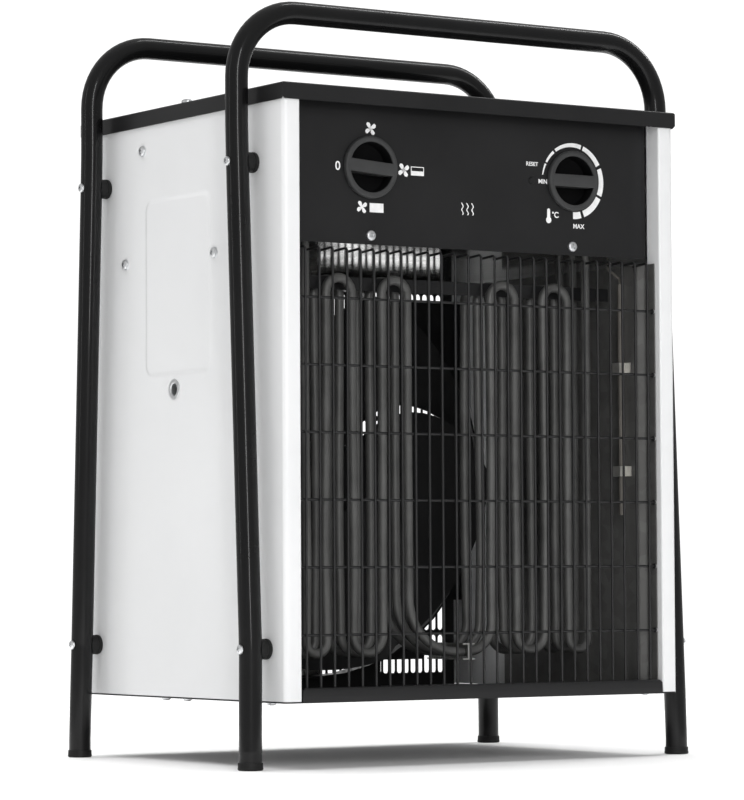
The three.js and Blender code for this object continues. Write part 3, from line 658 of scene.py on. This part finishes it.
def emboss_stations(low, high, field):
    """Grid lines from low to high, close together over the raised field."""
    ends = (low, field[0] - EMBOSS_MARGIN, field[1] + EMBOSS_MARGIN, high)
    lines = []
    for start, end, pitch in zip(ends, ends[1:], (COARSE_PITCH, FINE_PITCH, COARSE_PITCH)):
        count = max(1, math.ceil((end - start) / pitch))
        lines += [start + (end - start) * i / count for i in range(count)]
    return lines + [high]


def side_panel_path():
    """(point, normal) pairs in plan: front return and flange, wall, and the same again at the rear."""
    corners = [
        (OPENING_X, FLANGE_RETURN - HALF_D), (OPENING_X, -HALF_D), (HALF_W, -HALF_D), (HALF_W, 0),
    ]
    front = list(zip(*bent_path(corners, PANEL_BENDS, 10)))[:-1]
    last_y = front[-1][0].y
    wall = [(Vector((HALF_W, y)), Vector((-1, 0))) for y in emboss_stations(last_y, -last_y, EMBOSS_Y)[1:-1]]
    rear = [(Vector((p.x, -p.y)), Vector((n.x, -n.y))) for p, n in reversed(front)]
    return front + wall + rear


def add_side_panels():
    path = side_panel_path()
    hole = rod(INSERT_HOLE_RADIUS, -INSERT_HOLE_REACH, INSERT_HOLE_REACH, 40)
    eyelet = lathe(EYELET_PROFILE, 48)
    for side, hand in SIDES:
        outer, inner = [], []
        for z in emboss_stations(WALL_BOTTOM, WALL_TOP, EMBOSS_Z):
            lifts = [emboss_height(p.y, z) if p.x > HALF_W - 0.01 else 0.0 for p, n in path]
            outer.append([(hand * (p.x + lift), p.y, z) for (p, n), lift in zip(path, lifts)])
            inner.append([(hand * (p.x + lift + n.x * SHEET), p.y + n.y * SHEET, z)
                          for (p, n), lift in zip(path, lifts)])
        panel = bare_object(f"side_panel_{side}_sheet", Shape().add(*sheet(outer, inner)), 40)
        place = facing_x(hand, HALF_W, *INSERT)
        carve(panel, Shape().add(*hole, place), 40)
        settle(panel, "white_paint", stands_for=f"side_panel_{side}")

        settle(bare_object(f"side_insert_{side}", Shape().add(*eyelet, place)), "screw_steel")
        stud = Shape().copy_of(HEAD, facing_x(hand, HALF_W - STUD_DEPTH, *INSERT))
        settle(bare_object(f"side_insert_stud_{side}", stud), "black_plastic")


SIDE_SCREWS = ((65.5, 562.4), (97.8, 459.2), (-62.5, 458.8))
SIDE_SCREW_SIZE = 1.1
WASHER_RADIUS, WASHER_HEIGHT, WASHER_LAP = 5.2, 0.4, 0.05
PANEL_SCREW_X, PANEL_SCREW_Z, PANEL_SCREW_SIZE = 111.5, 471.0, 1.12
COVER_SCREW_X, COVER_SCREW_Y, COVER_SCREW_SIZE = 210.5, -8.0, 1.3
TRAY_SCREW_X, TRAY_SCREWS_Y, TRAY_SCREW_SIZE = 206, (-142.0, 2.4, 40.3), 0.95
REAR_SCREWS_X, REAR_SCREWS_Z, REAR_SCREW_SIZE = (-186.0, 0.0, 186.0), (582.0, 490.0), 0.85


def add_screws(name, places, size):
    shape = Shape()
    for place in places:
        shape.copy_of(HEAD, place @ Matrix.Scale(size, 4))
    settle(bare_object(name, shape), "screw_steel")


def add_loose_screws():
    washer = rod(WASHER_RADIUS, 0, WASHER_HEIGHT, 32)
    for side, hand in SIDES:
        shape = Shape()
        for y, z in SIDE_SCREWS:
            shape.add(*washer, facing_x(hand, HALF_W, y, z))
            seat = facing_x(hand, HALF_W + WASHER_HEIGHT - WASHER_LAP, y, z)
            shape.copy_of(HEAD, seat @ Matrix.Scale(SIDE_SCREW_SIZE, 4))
        settle(bare_object(f"side_screws_{side}", shape), "screw_steel")
    add_screws("panel_screws", [
        facing_front(hand * PANEL_SCREW_X, PANEL_Y, PANEL_SCREW_Z) for hand in (-1, 1)
    ], PANEL_SCREW_SIZE)
    add_screws("cover_screws", [
        Matrix.Translation((hand * COVER_SCREW_X, COVER_SCREW_Y, COVER_TOP)) for hand in (-1, 1)
    ], COVER_SCREW_SIZE)
    down = Matrix.Rotation(math.pi, 4, "X")
    add_screws("tray_screws", [
        Matrix.Translation((hand * TRAY_SCREW_X, y, CASING_BOTTOM)) @ down
        for hand in (-1, 1) for y in TRAY_SCREWS_Y
    ], TRAY_SCREW_SIZE)
    add_screws("rear_screws", [
        facing_back(x, REAR_Y, z) for x in REAR_SCREWS_X for z in REAR_SCREWS_Z
    ], REAR_SCREW_SIZE)


COVER_BEND = 2.2
COVER_RELIEF = 2.4
COVER_BEND_STEPS = 6


def add_top_cover():
    """A tray folded from one sheet: flat top, four rims, closed corners with small reliefs."""
    flat_x, flat_y = COVER_HALF_X - COVER_BEND, COVER_HALF_Y - COVER_BEND
    shape = Shape()
    top = [(-flat_x, -flat_y), (flat_x, -flat_y), (flat_x, flat_y), (-flat_x, flat_y)]
    shape.add([(x, y, COVER_TOP) for x, y in top], [(0, 1, 2, 3)])

    def rim_rows(flat_across, half_across, flat_along, half_along, inset):
        """Rows of (distance across the rim's edge, half length along it, height), from the top down."""
        rows = []
        for step in range(COVER_BEND_STEPS + 1):
            angle = math.radians(90 * step / COVER_BEND_STEPS)
            rows.append((flat_across + COVER_BEND * math.sin(angle),
                         flat_along + (COVER_BEND - inset) * math.sin(angle),
                         COVER_TOP - COVER_BEND + COVER_BEND * math.cos(angle)))
        rows.append((half_across, half_along - inset, RIM_BOTTOM + COVER_RELIEF))
        rows.append((half_across, half_along - inset - COVER_RELIEF, RIM_BOTTOM))
        return rows

    end_rows = rim_rows(flat_y, COVER_HALF_Y, flat_x, COVER_HALF_X, 0.0)
    side_rows = rim_rows(flat_x, COVER_HALF_X, flat_y, COVER_HALF_Y, SHEET + 0.3)
    bands = [(2 * i, 2 * i + 1, 2 * i + 3, 2 * i + 2) for i in range(len(end_rows) - 1)]
    for hand in (-1, 1):
        shape.add([(side * along, hand * across, z)
                   for across, along, z in end_rows for side in (-1, 1)], bands)
        shape.add([(hand * across, side * along, z)
                   for across, along, z in side_rows for side in (-1, 1)], bands)
    cover = bare_object("top_cover_sheet", shape, 30)
    solid = thicken(cover, SHEET)
    solid.offset = -1
    solid.use_even_offset = True
    bake_modifiers(cover, 30)
    settle(cover, "black_paint", stands_for="top_cover")


TRAY_CORNER = 5.0
TRAY_EDGE = 0.25
LIP_RETURN, LIP_FOOT = 6, 8
LIP_BENDS = [2.6, 1.6]
LIP_SIDE_GAP = 0.4
LIP_TRIM = 3.0


def add_bottom_tray():
    floor = rounded_rectangle((-HALF_W, HALF_W), (-HALF_D, HALF_D), TRAY_CORNER)
    tray = bare_object("bottom_tray_floor", Shape().add(*prism(floor, CASING_BOTTOM, CASING_BOTTOM + SHEET)))
    add_bevel(tray, TRAY_EDGE)
    bake_modifiers(tray)
    settle(tray, "black_paint", stands_for="bottom_tray")
    path, normals = bent_path([
        (-HALF_D + LIP_RETURN, LIP_TOP), (-HALF_D, LIP_TOP), (-HALF_D, CASING_BOTTOM),
        (-HALF_D + LIP_FOOT, CASING_BOTTOM),
    ], LIP_BENDS, 8)
    reach = OPENING_X - LIP_SIDE_GAP
    for name, hand in (("front", 1), ("rear", -1)):
        outer, inner = [], []
        for point, normal in zip(path, normals):
            before_end = point.x < -HALF_D + LIP_RETURN - 0.1
            end = reach - (max(0.0, LIP_TRIM - (LIP_TOP - point.y)) if before_end else LIP_TRIM)
            outer.append([(side * end, hand * point.x, point.y) for side in (-1, 1)])
            inner.append([(side * end, hand * (point.x + normal.x * SHEET), point.y + normal.y * SHEET)
                          for side in (-1, 1)])
        settle(bare_object(f"tray_lip_{name}", Shape().add(*sheet(outer, inner))), "black_paint")


SLOT_COLUMNS = 45
SLOT_PITCH = 8.2
SLOT_WIDTH = 6.0
SLOT_ROWS = 9
SLOT_ROW_PITCH = 42.6
SLOT_HEIGHT = 38.0
SLOT_BOTTOM = 71.0
SLOT_ARC_STEPS = 6
GLAND = (-120.0, 548.0)
GLAND_HOLE_RADIUS = 12.4


def add_rear_panel():
    """The slotted rear sheet: one outline per slot, joined up into a closed sheet."""
    lines_x = [(i - SLOT_COLUMNS / 2) * SLOT_PITCH for i in range(SLOT_COLUMNS + 1)]
    lines_x[0], lines_x[-1] = -REAR_SIDE, REAR_SIDE
    margin = (SLOT_ROW_PITCH - SLOT_HEIGHT) / 2
    lines_z = [SLOT_BOTTOM - margin + SLOT_ROW_PITCH * i for i in range(SLOT_ROWS + 1)]
    lines_z[0] = WALL_BOTTOM
    flat = []
    radius = SLOT_WIDTH / 2
    for column in range(SLOT_COLUMNS):
        x = (column - (SLOT_COLUMNS - 1) / 2) * SLOT_PITCH
        left, right = lines_x[column], lines_x[column + 1]
        for row in range(SLOT_ROWS):
            low = SLOT_BOTTOM + row * SLOT_ROW_PITCH
            high = low + SLOT_HEIGHT
            bottom, top = lines_z[row], lines_z[row + 1]
            crown = arc((x, high - radius), radius, 0, 180, SLOT_ARC_STEPS)
            heel = arc((x, low + radius), radius, 180, 360, SLOT_ARC_STEPS)
            flat += [
                [(right, top), (left, top)] + crown[::-1], [(left, bottom), (right, bottom)] + heel[::-1],
                [(left, top), (left, bottom), heel[0], crown[-1]],
                [(right, bottom), (right, top), crown[0], heel[-1]],
            ]
    seam = [(x, lines_z[-1]) for x in lines_x]
    split = max(i for i, line in enumerate(lines_x) if line < GLAND[0])
    above = (seam[split][0], WALL_TOP)
    left_half = arc(GLAND, GLAND_HOLE_RADIUS, 270, 90, 12)
    right_half = arc(GLAND, GLAND_HOLE_RADIUS, 90, -90, 12)
    flat.append(seam[:split + 1] + left_half + [above, (-REAR_SIDE, WALL_TOP)])
    flat.append(seam[split:] + [(REAR_SIDE, WALL_TOP), above] + right_half)
    shape = Shape()
    for outline in flat:
        clean = [point for i, point in enumerate(outline) if point != outline[i - 1]]
        shape.add([(px, REAR_Y, pz) for px, pz in clean], [tuple(range(len(clean)))])
    rear = bare_object("rear_panel_sheet", shape, 30)
    thicken(rear, SHEET)
    bake_modifiers(rear, 30)
    settle(rear, "black_paint", stands_for="rear_panel")


# ---------------- grille and elements
def add_grille():
    shape = Shape()
    first = -(GRILLE_COUNT - 1) / 2 * GRILLE_PITCH
    bend = GRILLE_TOP - WIRE_RADIUS
    y = GRILLE_Y - WIRE_RADIUS + WELD
    for i in range(GRILLE_COUNT):
        x = first + i * GRILLE_PITCH
        sway = WIRE_SWAY * math.sin(i * 2.3)
        route = round_route([
            (x, y, WALL_BOTTOM + WIRE_FOOT_GAP), (x + sway, y, bend),
            (x + sway - 0.4, GRILLE_Y + WIRE_TAIL, bend - WIRE_TAIL_DROP),
        ], [WIRE_BEND], 8)
        shape.add(*tube(route, WIRE_RADIUS, 14))
    y = GRILLE_Y + WIRE_RADIUS - WELD
    end = OPENING_X - WIRE_END_GAP
    for z in GRILLE_ROWS:
        shape.add(*tube([Vector((-end, y, z)), Vector((end, y, z))], WIRE_RADIUS, 14))
    settle(bare_object("front_grille_wires", shape, 50), "black_wire", stands_for="front_grille")
    beads = Shape()
    bead = lathe(BEAD_PROFILE, 20)
    for z in GRILLE_ROWS:
        for hand in (-1, 1):
            beads.add(*bead, facing_x(-hand, BEAD_INSET - OPENING_X, GRILLE_Y + BEAD_SETBACK, z))
    settle(bare_object("grille_wire_ends", beads), "black_wire")


def element_route(y):
    """The corners of one serpentine, and the radius of each inner one."""
    legs = ELEMENT_LEGS
    corners, radii = [], []
    for i, x in enumerate(legs):
        rising = i % 2 == 1
        start = ELEMENT_END if i == 0 else (ELEMENT_BOTTOM if rising else ELEMENT_TOP)
        end = ELEMENT_END if i == len(legs) - 1 else (ELEMENT_TOP if rising else ELEMENT_BOTTOM)
        corners += [(x, y, start), (x, y, end)]
        if i:
            radii.append(LOOP_RIGHT_RADIUS if legs[i - 1] == LOOP_LEG else abs(x - legs[i - 1]) / 2 - 0.01)
        if i < len(legs) - 1:
            radii.append(LOOP_LEFT_RADIUS if x == LOOP_LEG else abs(legs[i + 1] - x) / 2 - 0.01)
    return corners, radii


def element_sway(point, row):
    """How far a leg leans off its line: nothing at its ends, most in the middle."""
    below_top = min(max((ELEMENT_TOP - point.z) / SWAY_FADE_TOP, 0), 1)
    above_bottom = min(max((point.z - ELEMENT_BOTTOM) / SWAY_FADE_BOTTOM, 0), 1)
    depth = below_top * above_bottom
    phase = point.x * 0.11 + row * 1.7
    return Vector((
        SWAY_X * depth * math.sin(phase + point.z * 0.006),
        SWAY_Y * depth * math.cos(phase * 1.3 + point.z * 0.005), 0,
    ))


def add_elements():
    for row, y in enumerate(ELEMENT_ROWS):
        rounded = round_route(*element_route(y), 12)
        route = []
        for start, end in zip(rounded, rounded[1:]):
            count = max(1, math.ceil((end - start).length / ELEMENT_STEP))
            route += [start.lerp(end, i / count) for i in range(count)]
        route.append(rounded[-1])
        swayed = [point + element_sway(point, row) for point in route]
        name = f"heating_element_{row + 1}"
        element = bare_object(f"{name}_tube", Shape().add(*tube(swayed, ELEMENT_RADIUS, 24)), 50)
        settle(element, "element_sheath", stands_for=name)


# ---------------- fan
def blade_rows(turn):
    """Grids of points over the front and back of one blade."""
    outer, inner = [], []
    for radius in BLADE_RADII:
        t = (radius - BLADE_RADII[0]) / (BLADE_RADII[-1] - BLADE_RADII[0])
        half = BLADE_HALF_ANGLE - BLADE_HALF_TAPER * t
        middle = BLADE_TURN + BLADE_SWEEP * t * t + turn
        slope = math.tan(BLADE_PITCH - BLADE_PITCH_LOSS * t)
        row = []
        for k in range(BLADE_CHORD_POINTS):
            u = -1 + 2 * k / (BLADE_CHORD_POINTS - 1)
            angle = middle + half * u
            depth = slope * radius * half * u * BLADE_FLATTENING + BLADE_CAMBER * (1 - u * u)
            depth = max(-BLADE_REACH, min(BLADE_REACH, depth))
            row.append((radius * math.sin(angle), FAN_Y + depth, FAN_Z + radius * math.cos(angle)))
        outer.append(row)
        inner.append([(x, y - BLADE_THICKNESS, z) for x, y, z in row])
    return outer, inner


def add_fan():
    shape = Shape()
    axle = facing_back(0, FAN_Y, FAN_Z)
    shape.add(*lathe(HUB_PROFILE, 56), axle)
    shape.add(*rod(SHAFT_RADIUS, 0, SHAFT_LENGTH, 24), axle)
    for blade in range(FAN_BLADES):
        shape.add(*sheet(*blade_rows(blade * TAU / FAN_BLADES)))
    settle(bare_object("fan_wheel", shape, 45), "black_plastic", body="fan", stands_for="fan_rotor")


# ---------------- controls
def add_knob(name, x, rest, body, node):
    """A ring round a well whose faces are painted near-black as shade, and the wide grip across it."""
    shape = Shape()
    place = facing_front(x, PANEL_Y, KNOB_Z, -rest)
    shape.add(*lathe(KNOB_PROFILE, 72), place)
    # Faces inside the well take the second look, the painted shade.
    for i, face in enumerate(shape.faces):
        points = [shape.vertices[k] for k in face]
        depths = [PANEL_Y - point.y for point in points]
        inside = max(math.hypot(point.x - x, point.z - KNOB_Z) for point in points) < WELL_RADIUS
        if inside and max(depths) < WELL_DEPTHS[1] and min(depths) > WELL_DEPTHS[0]:
            shape.looks[i] = 1
    settle(bare_object(name, shape, 40), "knob_plastic", body=body, stands_for=node,
           looks=["knob_plastic", "painted_shade_well"])
    end = math.degrees(math.asin(GRIP_HALF / GRIP_MEETS))
    outline = arc((0, 0), GRIP_RADIUS, -end, end, 4) + arc((0, 0), GRIP_RADIUS, 180 - end, 180 + end, 4)
    grip = bare_object(f"{name}_grip", Shape().add(*prism(outline, *GRIP_DEPTHS), place))
    add_bevel(grip, GRIP_EDGE, 3, 60)
    bake_modifiers(grip, 40)
    settle(grip, "knob_plastic", body=body)


CAPITAL_HEIGHT = 0.72
LABELS = (
    ("0", -146.0, 531.4, 8.2, 0.16), ("RESET", 66.6, 545.2, 3.7, 0.1), ("MIN", 78.6, 529.6, 4.1, 0.12),
    ("MAX", 119.3, 490.0, 4.3, 0.12), ("C", 93.8, 499.4, 5.4, 0.2),
)
FAN_ICONS = ((-111.0, 566.8, 11.0), (-75.6, 531.6, 11.5), (-120.6, 496.2, 10.5))
FAN_ICON_BLADE = (
    (0.0, 0.1), (0.08, -0.02), (0.34, -0.06), (0.5, 0.02), (0.56, 0.2), (0.42, 0.34), (0.2, 0.24),
)
HALF_HEAT_FRAME = ((-67.8, -53.6), (527.4, 535.4))
HALF_HEAT_BAR = ((-67.1, -54.3), (528.1, 531.4))
FULL_HEAT_BAR = ((-112.4, -97.6), (492.0, 500.2))
FRAME_LINE = 0.7
SCALE_SEGMENTS = ((173, 155), (152, 130), (126, 73.5), (69.5, 28.5), (23, -21.5), (-26, -68.5), (-74, -90))
SCALE_RADIUS = 35.2
SCALE_WIDTH = 6.4
BULB = (85.0, 500.6)
DEGREE = (90.0, 501.6)
WAVES = (-6.0, 500.0)
WAVE_SPACING = 5.6
INK_DEPTH = 0.08
INK_LIFT = 0.1


def text_shape(text, height, bold):
    """The outline of a short label as flat polygons, centred on the origin."""
    curve = bpy.data.curves.new("label", "FONT")
    curve.body = text
    curve.size = height / CAPITAL_HEIGHT
    curve.offset = bold
    curve.align_x = curve.align_y = "CENTER"
    curve.resolution_u = 4
    label = linked("label", curve)
    graph = bpy.context.evaluated_depsgraph_get()
    mesh = bpy.data.meshes.new_from_object(label.evaluated_get(graph))
    vertices = [(vertex.co.x, vertex.co.y, 0.0) for vertex in mesh.vertices]
    faces = [tuple(polygon.vertices) for polygon in mesh.polygons]
    bpy.data.objects.remove(label)
    return vertices, faces


def fan_icon(size):
    outlines = []
    for turn in range(4):
        turned = Matrix.Rotation(math.radians(90 * turn + 12), 2) * size
        outlines.append([tuple(turned @ Vector(point)) for point in FAN_ICON_BLADE])
    outlines.append(arc((0, 0), size * 0.14, 0, 330, 11))
    return outlines


def frame_strips(x, z, line):
    (x0, x1), (z0, z1) = x, z
    strips = (((x0, x1), (z0, z0 + line)), ((x0, x1), (z1 - line, z1)),
              ((x0, x0 + line), (z0 + line, z1 - line)), ((x1 - line, x1), (z0 + line, z1 - line)))
    return [rectangle(*strip) for strip in strips]


def scale_steps(start, end):
    """The quads of one segment of the heat scale, which widens from its low end to its high end."""
    steps = max(3, int((start - end) / 4))
    outer, inner = [], []
    for i in range(steps + 1):
        angle = start + (end - start) * i / steps
        width = SCALE_WIDTH * math.sqrt((180 - angle) / 270)
        across, up = math.cos(math.radians(angle)), math.sin(math.radians(angle))
        outer.append((SCALE_RADIUS * across, SCALE_RADIUS * up))
        inner.append(((SCALE_RADIUS - width) * across, (SCALE_RADIUS - width) * up))
    return [[inner[i], inner[i + 1], outer[i + 1], outer[i]] for i in range(steps)]


def heat_wave(x):
    """The quads of one upright wavy line."""
    line = [(x + 0.9 * math.sin(t * 1.1), -5.5 + 1.1 * t) for t in range(11)]
    return [
        [(px - 0.55, pz), (qx - 0.55, qz), (qx + 0.55, qz), (px + 0.55, pz)]
        for (px, pz), (qx, qz) in zip(line, line[1:])
    ]


def add_marks():
    """Printed marks on the control panel: switch positions, heat scale and their plain labels."""
    shape = Shape()
    ink_y = PANEL_Y - INK_LIFT

    def flat(outline, x=0.0, z=0.0):
        face = tuple(range(len(outline)))
        shape.add([(px, pz, 0.0) for px, pz in outline], [face], facing_front(x, ink_y, z))

    for text, x, z, height, bold in LABELS:
        shape.add(*text_shape(text, height, bold), facing_front(x, ink_y, z))
    for x, z, size in FAN_ICONS:
        for outline in fan_icon(size):
            flat(outline, x, z)
    for outline in frame_strips(*HALF_HEAT_FRAME, FRAME_LINE):
        flat(outline)
    flat(rectangle(*HALF_HEAT_BAR))
    flat(rectangle(*FULL_HEAT_BAR))
    for segment in SCALE_SEGMENTS:
        for quad in scale_steps(*segment):
            flat(quad, SCALE_X, KNOB_Z)
    flat(arc((0, 3.0), 1.7, 0, 180, 8) + arc((0, -6.0), 3.0, 125, 415, 16), *BULB)
    flat(arc((0, 0), 1.0, 0, 330, 11), *DEGREE)
    for place in (-1, 0, 1):
        for quad in heat_wave(place * WAVE_SPACING):
            flat(quad, *WAVES)
    marks = bare_object("panel_marks", shape)
    thicken(marks, INK_DEPTH)
    bake_modifiers(marks)
    settle(marks, "white_paint", looks=["ink"])


RESET_PROFILE = [(0, -1), (3.2, -1), (3.2, 0.5), (2.9, 0.8), (2.4, 0.8), (2.2, 0.2), (0, 0.1)]
RESET_PLACE = (66.0, 530.0)
GLAND_NUT_PROFILE = [(7, 0.3), (16.2, 0.3), (17, 0.9), (17, 6.4), (16.2, 7.0), (7, 7.0), (7, 0.3)]
GLAND_DOME_PROFILE = [
    (7, 7.0), (13.6, 7.0), (13.6, 8.0), (12.9, 8.6), (12.9, 14.4), (11.6, 17.2), (9.6, 18.8), (7.4, 19),
    (7, 18.4), (7, 7.0),
]
GLAND_RIBS = 18
GLAND_RIB = ((12.6, 13.5), (-0.7, 0.7), (8.8, 14.2))
GLAND_THREAD = (7, 12, -14, 0.3)
GLAND_LOCK_NUT = (12, 16, -6.2, -1.4)


def add_reset_and_gland():
    cap = Shape().add(*lathe(RESET_PROFILE, 32), facing_front(RESET_PLACE[0], PANEL_Y, RESET_PLACE[1]))
    settle(bare_object("reset_cap", cap), "black_plastic")
    gland = Shape()
    place = facing_back(GLAND[0], REAR_Y, GLAND[1])
    gland.add(*lathe(GLAND_NUT_PROFILE, 6), place)
    gland.add(*lathe(GLAND_DOME_PROFILE, 48), place)
    for i in range(GLAND_RIBS):
        gland.add(*block(*GLAND_RIB), place @ Matrix.Rotation(TAU * i / GLAND_RIBS, 4, "Z"))
    gland.add(*collar(*GLAND_THREAD, 40), place)
    gland.add(*collar(*GLAND_LOCK_NUT, 6), place)
    settle(bare_object("cable_gland_body", gland, 30), "black_plastic", stands_for="cable_gland")


# ---------------- carried-over nodes
CAD_LOOKS = {
    "control_panel": "black_paint", "compartment_floor": "bright_sheet", "fan_shroud": "black_paint",
    "heat_shield_left": "tinted_sheet", "heat_shield_right": "tinted_sheet", "motor_bracket": "galvanised",
    "fan_motor": "motor_casting", "selector_switch": "cream_plastic", "thermostat": "cream_plastic",
    "contactor": "cream_plastic", "terminal_block": "black_plastic", "thermal_cutout": "black_plastic",
    "terminal_plate_left": "cream_plastic", "terminal_plate_right": "cream_plastic",
    "element_clip": "galvanised", "element_support_bar": "black_paint", "thermostat_sensor": "copper",
    "sensor_clip_upper": "clip_steel", "sensor_clip_lower": "clip_steel",
}


def dress_nodes():
    for node, look in CAD_LOOKS.items():
        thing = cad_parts[node]
        thing.material_slots[0].link = "OBJECT"
        thing.material_slots[0].material = LOOKS[look]


# ---------------- studio
FLOOR_RADIUS, FLOOR_SIDES = 4.0, 96
FLOOR_TONE = (0.86, 0.86, 0.86, 1)
FLOOR_FADE = {"From Min": 0.9, "From Max": 2.2}
BACKDROP_RADIUS, BACKDROP_GLOW = 30.0, 1.15
CARD_X, CARD_Y, CARD_Z, CARD_GLOW = (0.4, 2.4), 2.0, (0.0, 1.0), 1.2
WORLD_GLOW = 0.46
MIDDLE = (0.0, 0.0, 0.33)
# name, place, target, size, power, seen in reflections
LIGHTS = (
    ("overhead", (-0.1, 0.5, 3.2), (0.0, 0.0, 0.0), (3.4, 3.4), 158.0, False),
    ("front_fill", (-0.9, -3.5, 1.6), MIDDLE, (1.5, 2.2), 28.0, False),
    ("top_strip", (1.7, 0.2, 2.6), MIDDLE, (0.14, 2.6), 20.0, True),
    ("left_strip", (-2.9, 0.9, 1.2), MIDDLE, (0.06, 2.0), 3.5, True),
    ("front_strip", (-1.5, -3.2, 1.3), MIDDLE, (0.34, 2.0), 28.0, True),
)
LENS, SENSOR_WIDTH = 165.61, 36.0
CAMERA_PLACE = (-1.91324, -2.88573, 0.17025)
CAMERA_YAW, CAMERA_PITCH, CAMERA_ROLL = math.radians(33.474), math.radians(2.702), math.radians(-0.2956)


def add_light(name, place, target, size, power, in_reflections):
    data = bpy.data.lights.new(name, "AREA")
    data.shape = "RECTANGLE"
    data.size, data.size_y = size
    data.energy = power
    light = linked(name, data)
    light.location = place
    light.rotation_euler = (Vector(target) - Vector(place)).to_track_quat("-Z", "Y").to_euler()
    light.visible_glossy = in_reflections


def glowing(name, strength):
    material = bpy.data.materials.new(name)
    material.use_nodes = True
    tree = material.node_tree
    tree.nodes.clear()
    emission = tree.nodes.new("ShaderNodeEmission")
    fill(emission, {"Color": (1, 1, 1, 1), "Strength": strength})
    output = tree.nodes.new("ShaderNodeOutputMaterial")
    tree.links.new(emission.outputs["Emission"], output.inputs["Surface"])
    return material


def staged(name, mesh, material, hidden_from=()):
    thing = linked(name, mesh)
    mesh.materials.append(material)
    for rays in hidden_from:
        setattr(thing, f"visible_{rays}", False)


def floor_finish():
    """A pale floor that thins out to nothing towards its edge."""
    material, tree, shader = new_material("floor")
    fill(shader, {"Base Color": FLOOR_TONE, "Roughness": 0.75, "Specular IOR Level": 0.2})
    length = tree.nodes.new("ShaderNodeVectorMath")
    length.operation = "LENGTH"
    object_coordinates(tree, length)
    fade = tree.nodes.new("ShaderNodeMapRange")
    fade.interpolation_type = "SMOOTHSTEP"
    fill(fade, FLOOR_FADE)
    tree.links.new(length.outputs["Value"], fade.inputs["Value"])
    clear = tree.nodes.new("ShaderNodeBsdfTransparent")
    mix = tree.nodes.new("ShaderNodeMixShader")
    tree.links.new(fade.outputs["Result"], mix.inputs["Fac"])
    tree.links.new(shader.outputs["BSDF"], mix.inputs[1])
    tree.links.new(clear.outputs["BSDF"], mix.inputs[2])
    tree.links.new(mix.outputs["Shader"], tree.nodes["Material Output"].inputs["Surface"])
    return material


def add_studio():
    floor = bpy.data.meshes.new("floor")
    ring = arc((0, 0), FLOOR_RADIUS, 0, 360, FLOOR_SIDES)[:-1]
    floor.from_pydata([(x, y, 0.0) for x, y in ring], [], [tuple(range(FLOOR_SIDES))])
    staged("floor", floor, floor_finish())

    dome = bpy.data.meshes.new("backdrop")
    work = bmesh.new()
    bmesh.ops.create_icosphere(work, subdivisions=4, radius=BACKDROP_RADIUS)
    work.to_mesh(dome)
    work.free()
    staged("backdrop", dome, glowing("backdrop", BACKDROP_GLOW),
           ("diffuse", "glossy", "transmission", "shadow"))

    card = bpy.data.meshes.new("rear_card")
    card.from_pydata([(x, CARD_Y, z) for x, z in rectangle(CARD_X, CARD_Z)], [], [(0, 1, 2, 3)])
    staged("rear_card", card, glowing("rear card", CARD_GLOW), ("camera", "diffuse", "shadow"))

    world = bpy.data.worlds.new("studio")
    world.use_nodes = True
    fill(world.node_tree.nodes["Background"], {"Color": (1, 1, 1, 1), "Strength": WORLD_GLOW})
    bpy.context.scene.world = world
    bpy.context.scene.view_settings.view_transform = "Standard"
    for light in LIGHTS:
        add_light(*light)


def add_camera():
    data = bpy.data.cameras.new("camera")
    data.sensor_width = SENSOR_WIDTH
    data.lens = LENS
    camera = linked("camera", data)
    reach = math.cos(CAMERA_PITCH)
    forward = Vector((math.sin(CAMERA_YAW) * reach, math.cos(CAMERA_YAW) * reach, math.sin(CAMERA_PITCH)))
    level = Vector((math.cos(CAMERA_YAW), -math.sin(CAMERA_YAW), 0))
    upright = level.cross(forward)
    across = level * math.cos(CAMERA_ROLL) + upright * math.sin(CAMERA_ROLL)
    up = upright * math.cos(CAMERA_ROLL) - level * math.sin(CAMERA_ROLL)
    turn = Matrix((across, up, -forward)).transposed().to_4x4()
    camera.matrix_world = Matrix.Translation(CAMERA_PLACE) @ turn
    bpy.context.scene.camera = camera


add_camera()
add_studio()
dress_nodes()
add_hoops()
add_fixings()
add_side_panels()
add_loose_screws()
add_top_cover()
add_bottom_tray()
add_rear_panel()
add_grille()
add_elements()
add_fan()
add_knob("selector_knob_ring", -KNOB_X, SELECTOR_REST, "selector", "selector_knob")
add_knob("thermostat_knob_ring", KNOB_X, 0.0, "thermostat_dial", "thermostat_knob")
add_marks()
add_reset_and_gland()
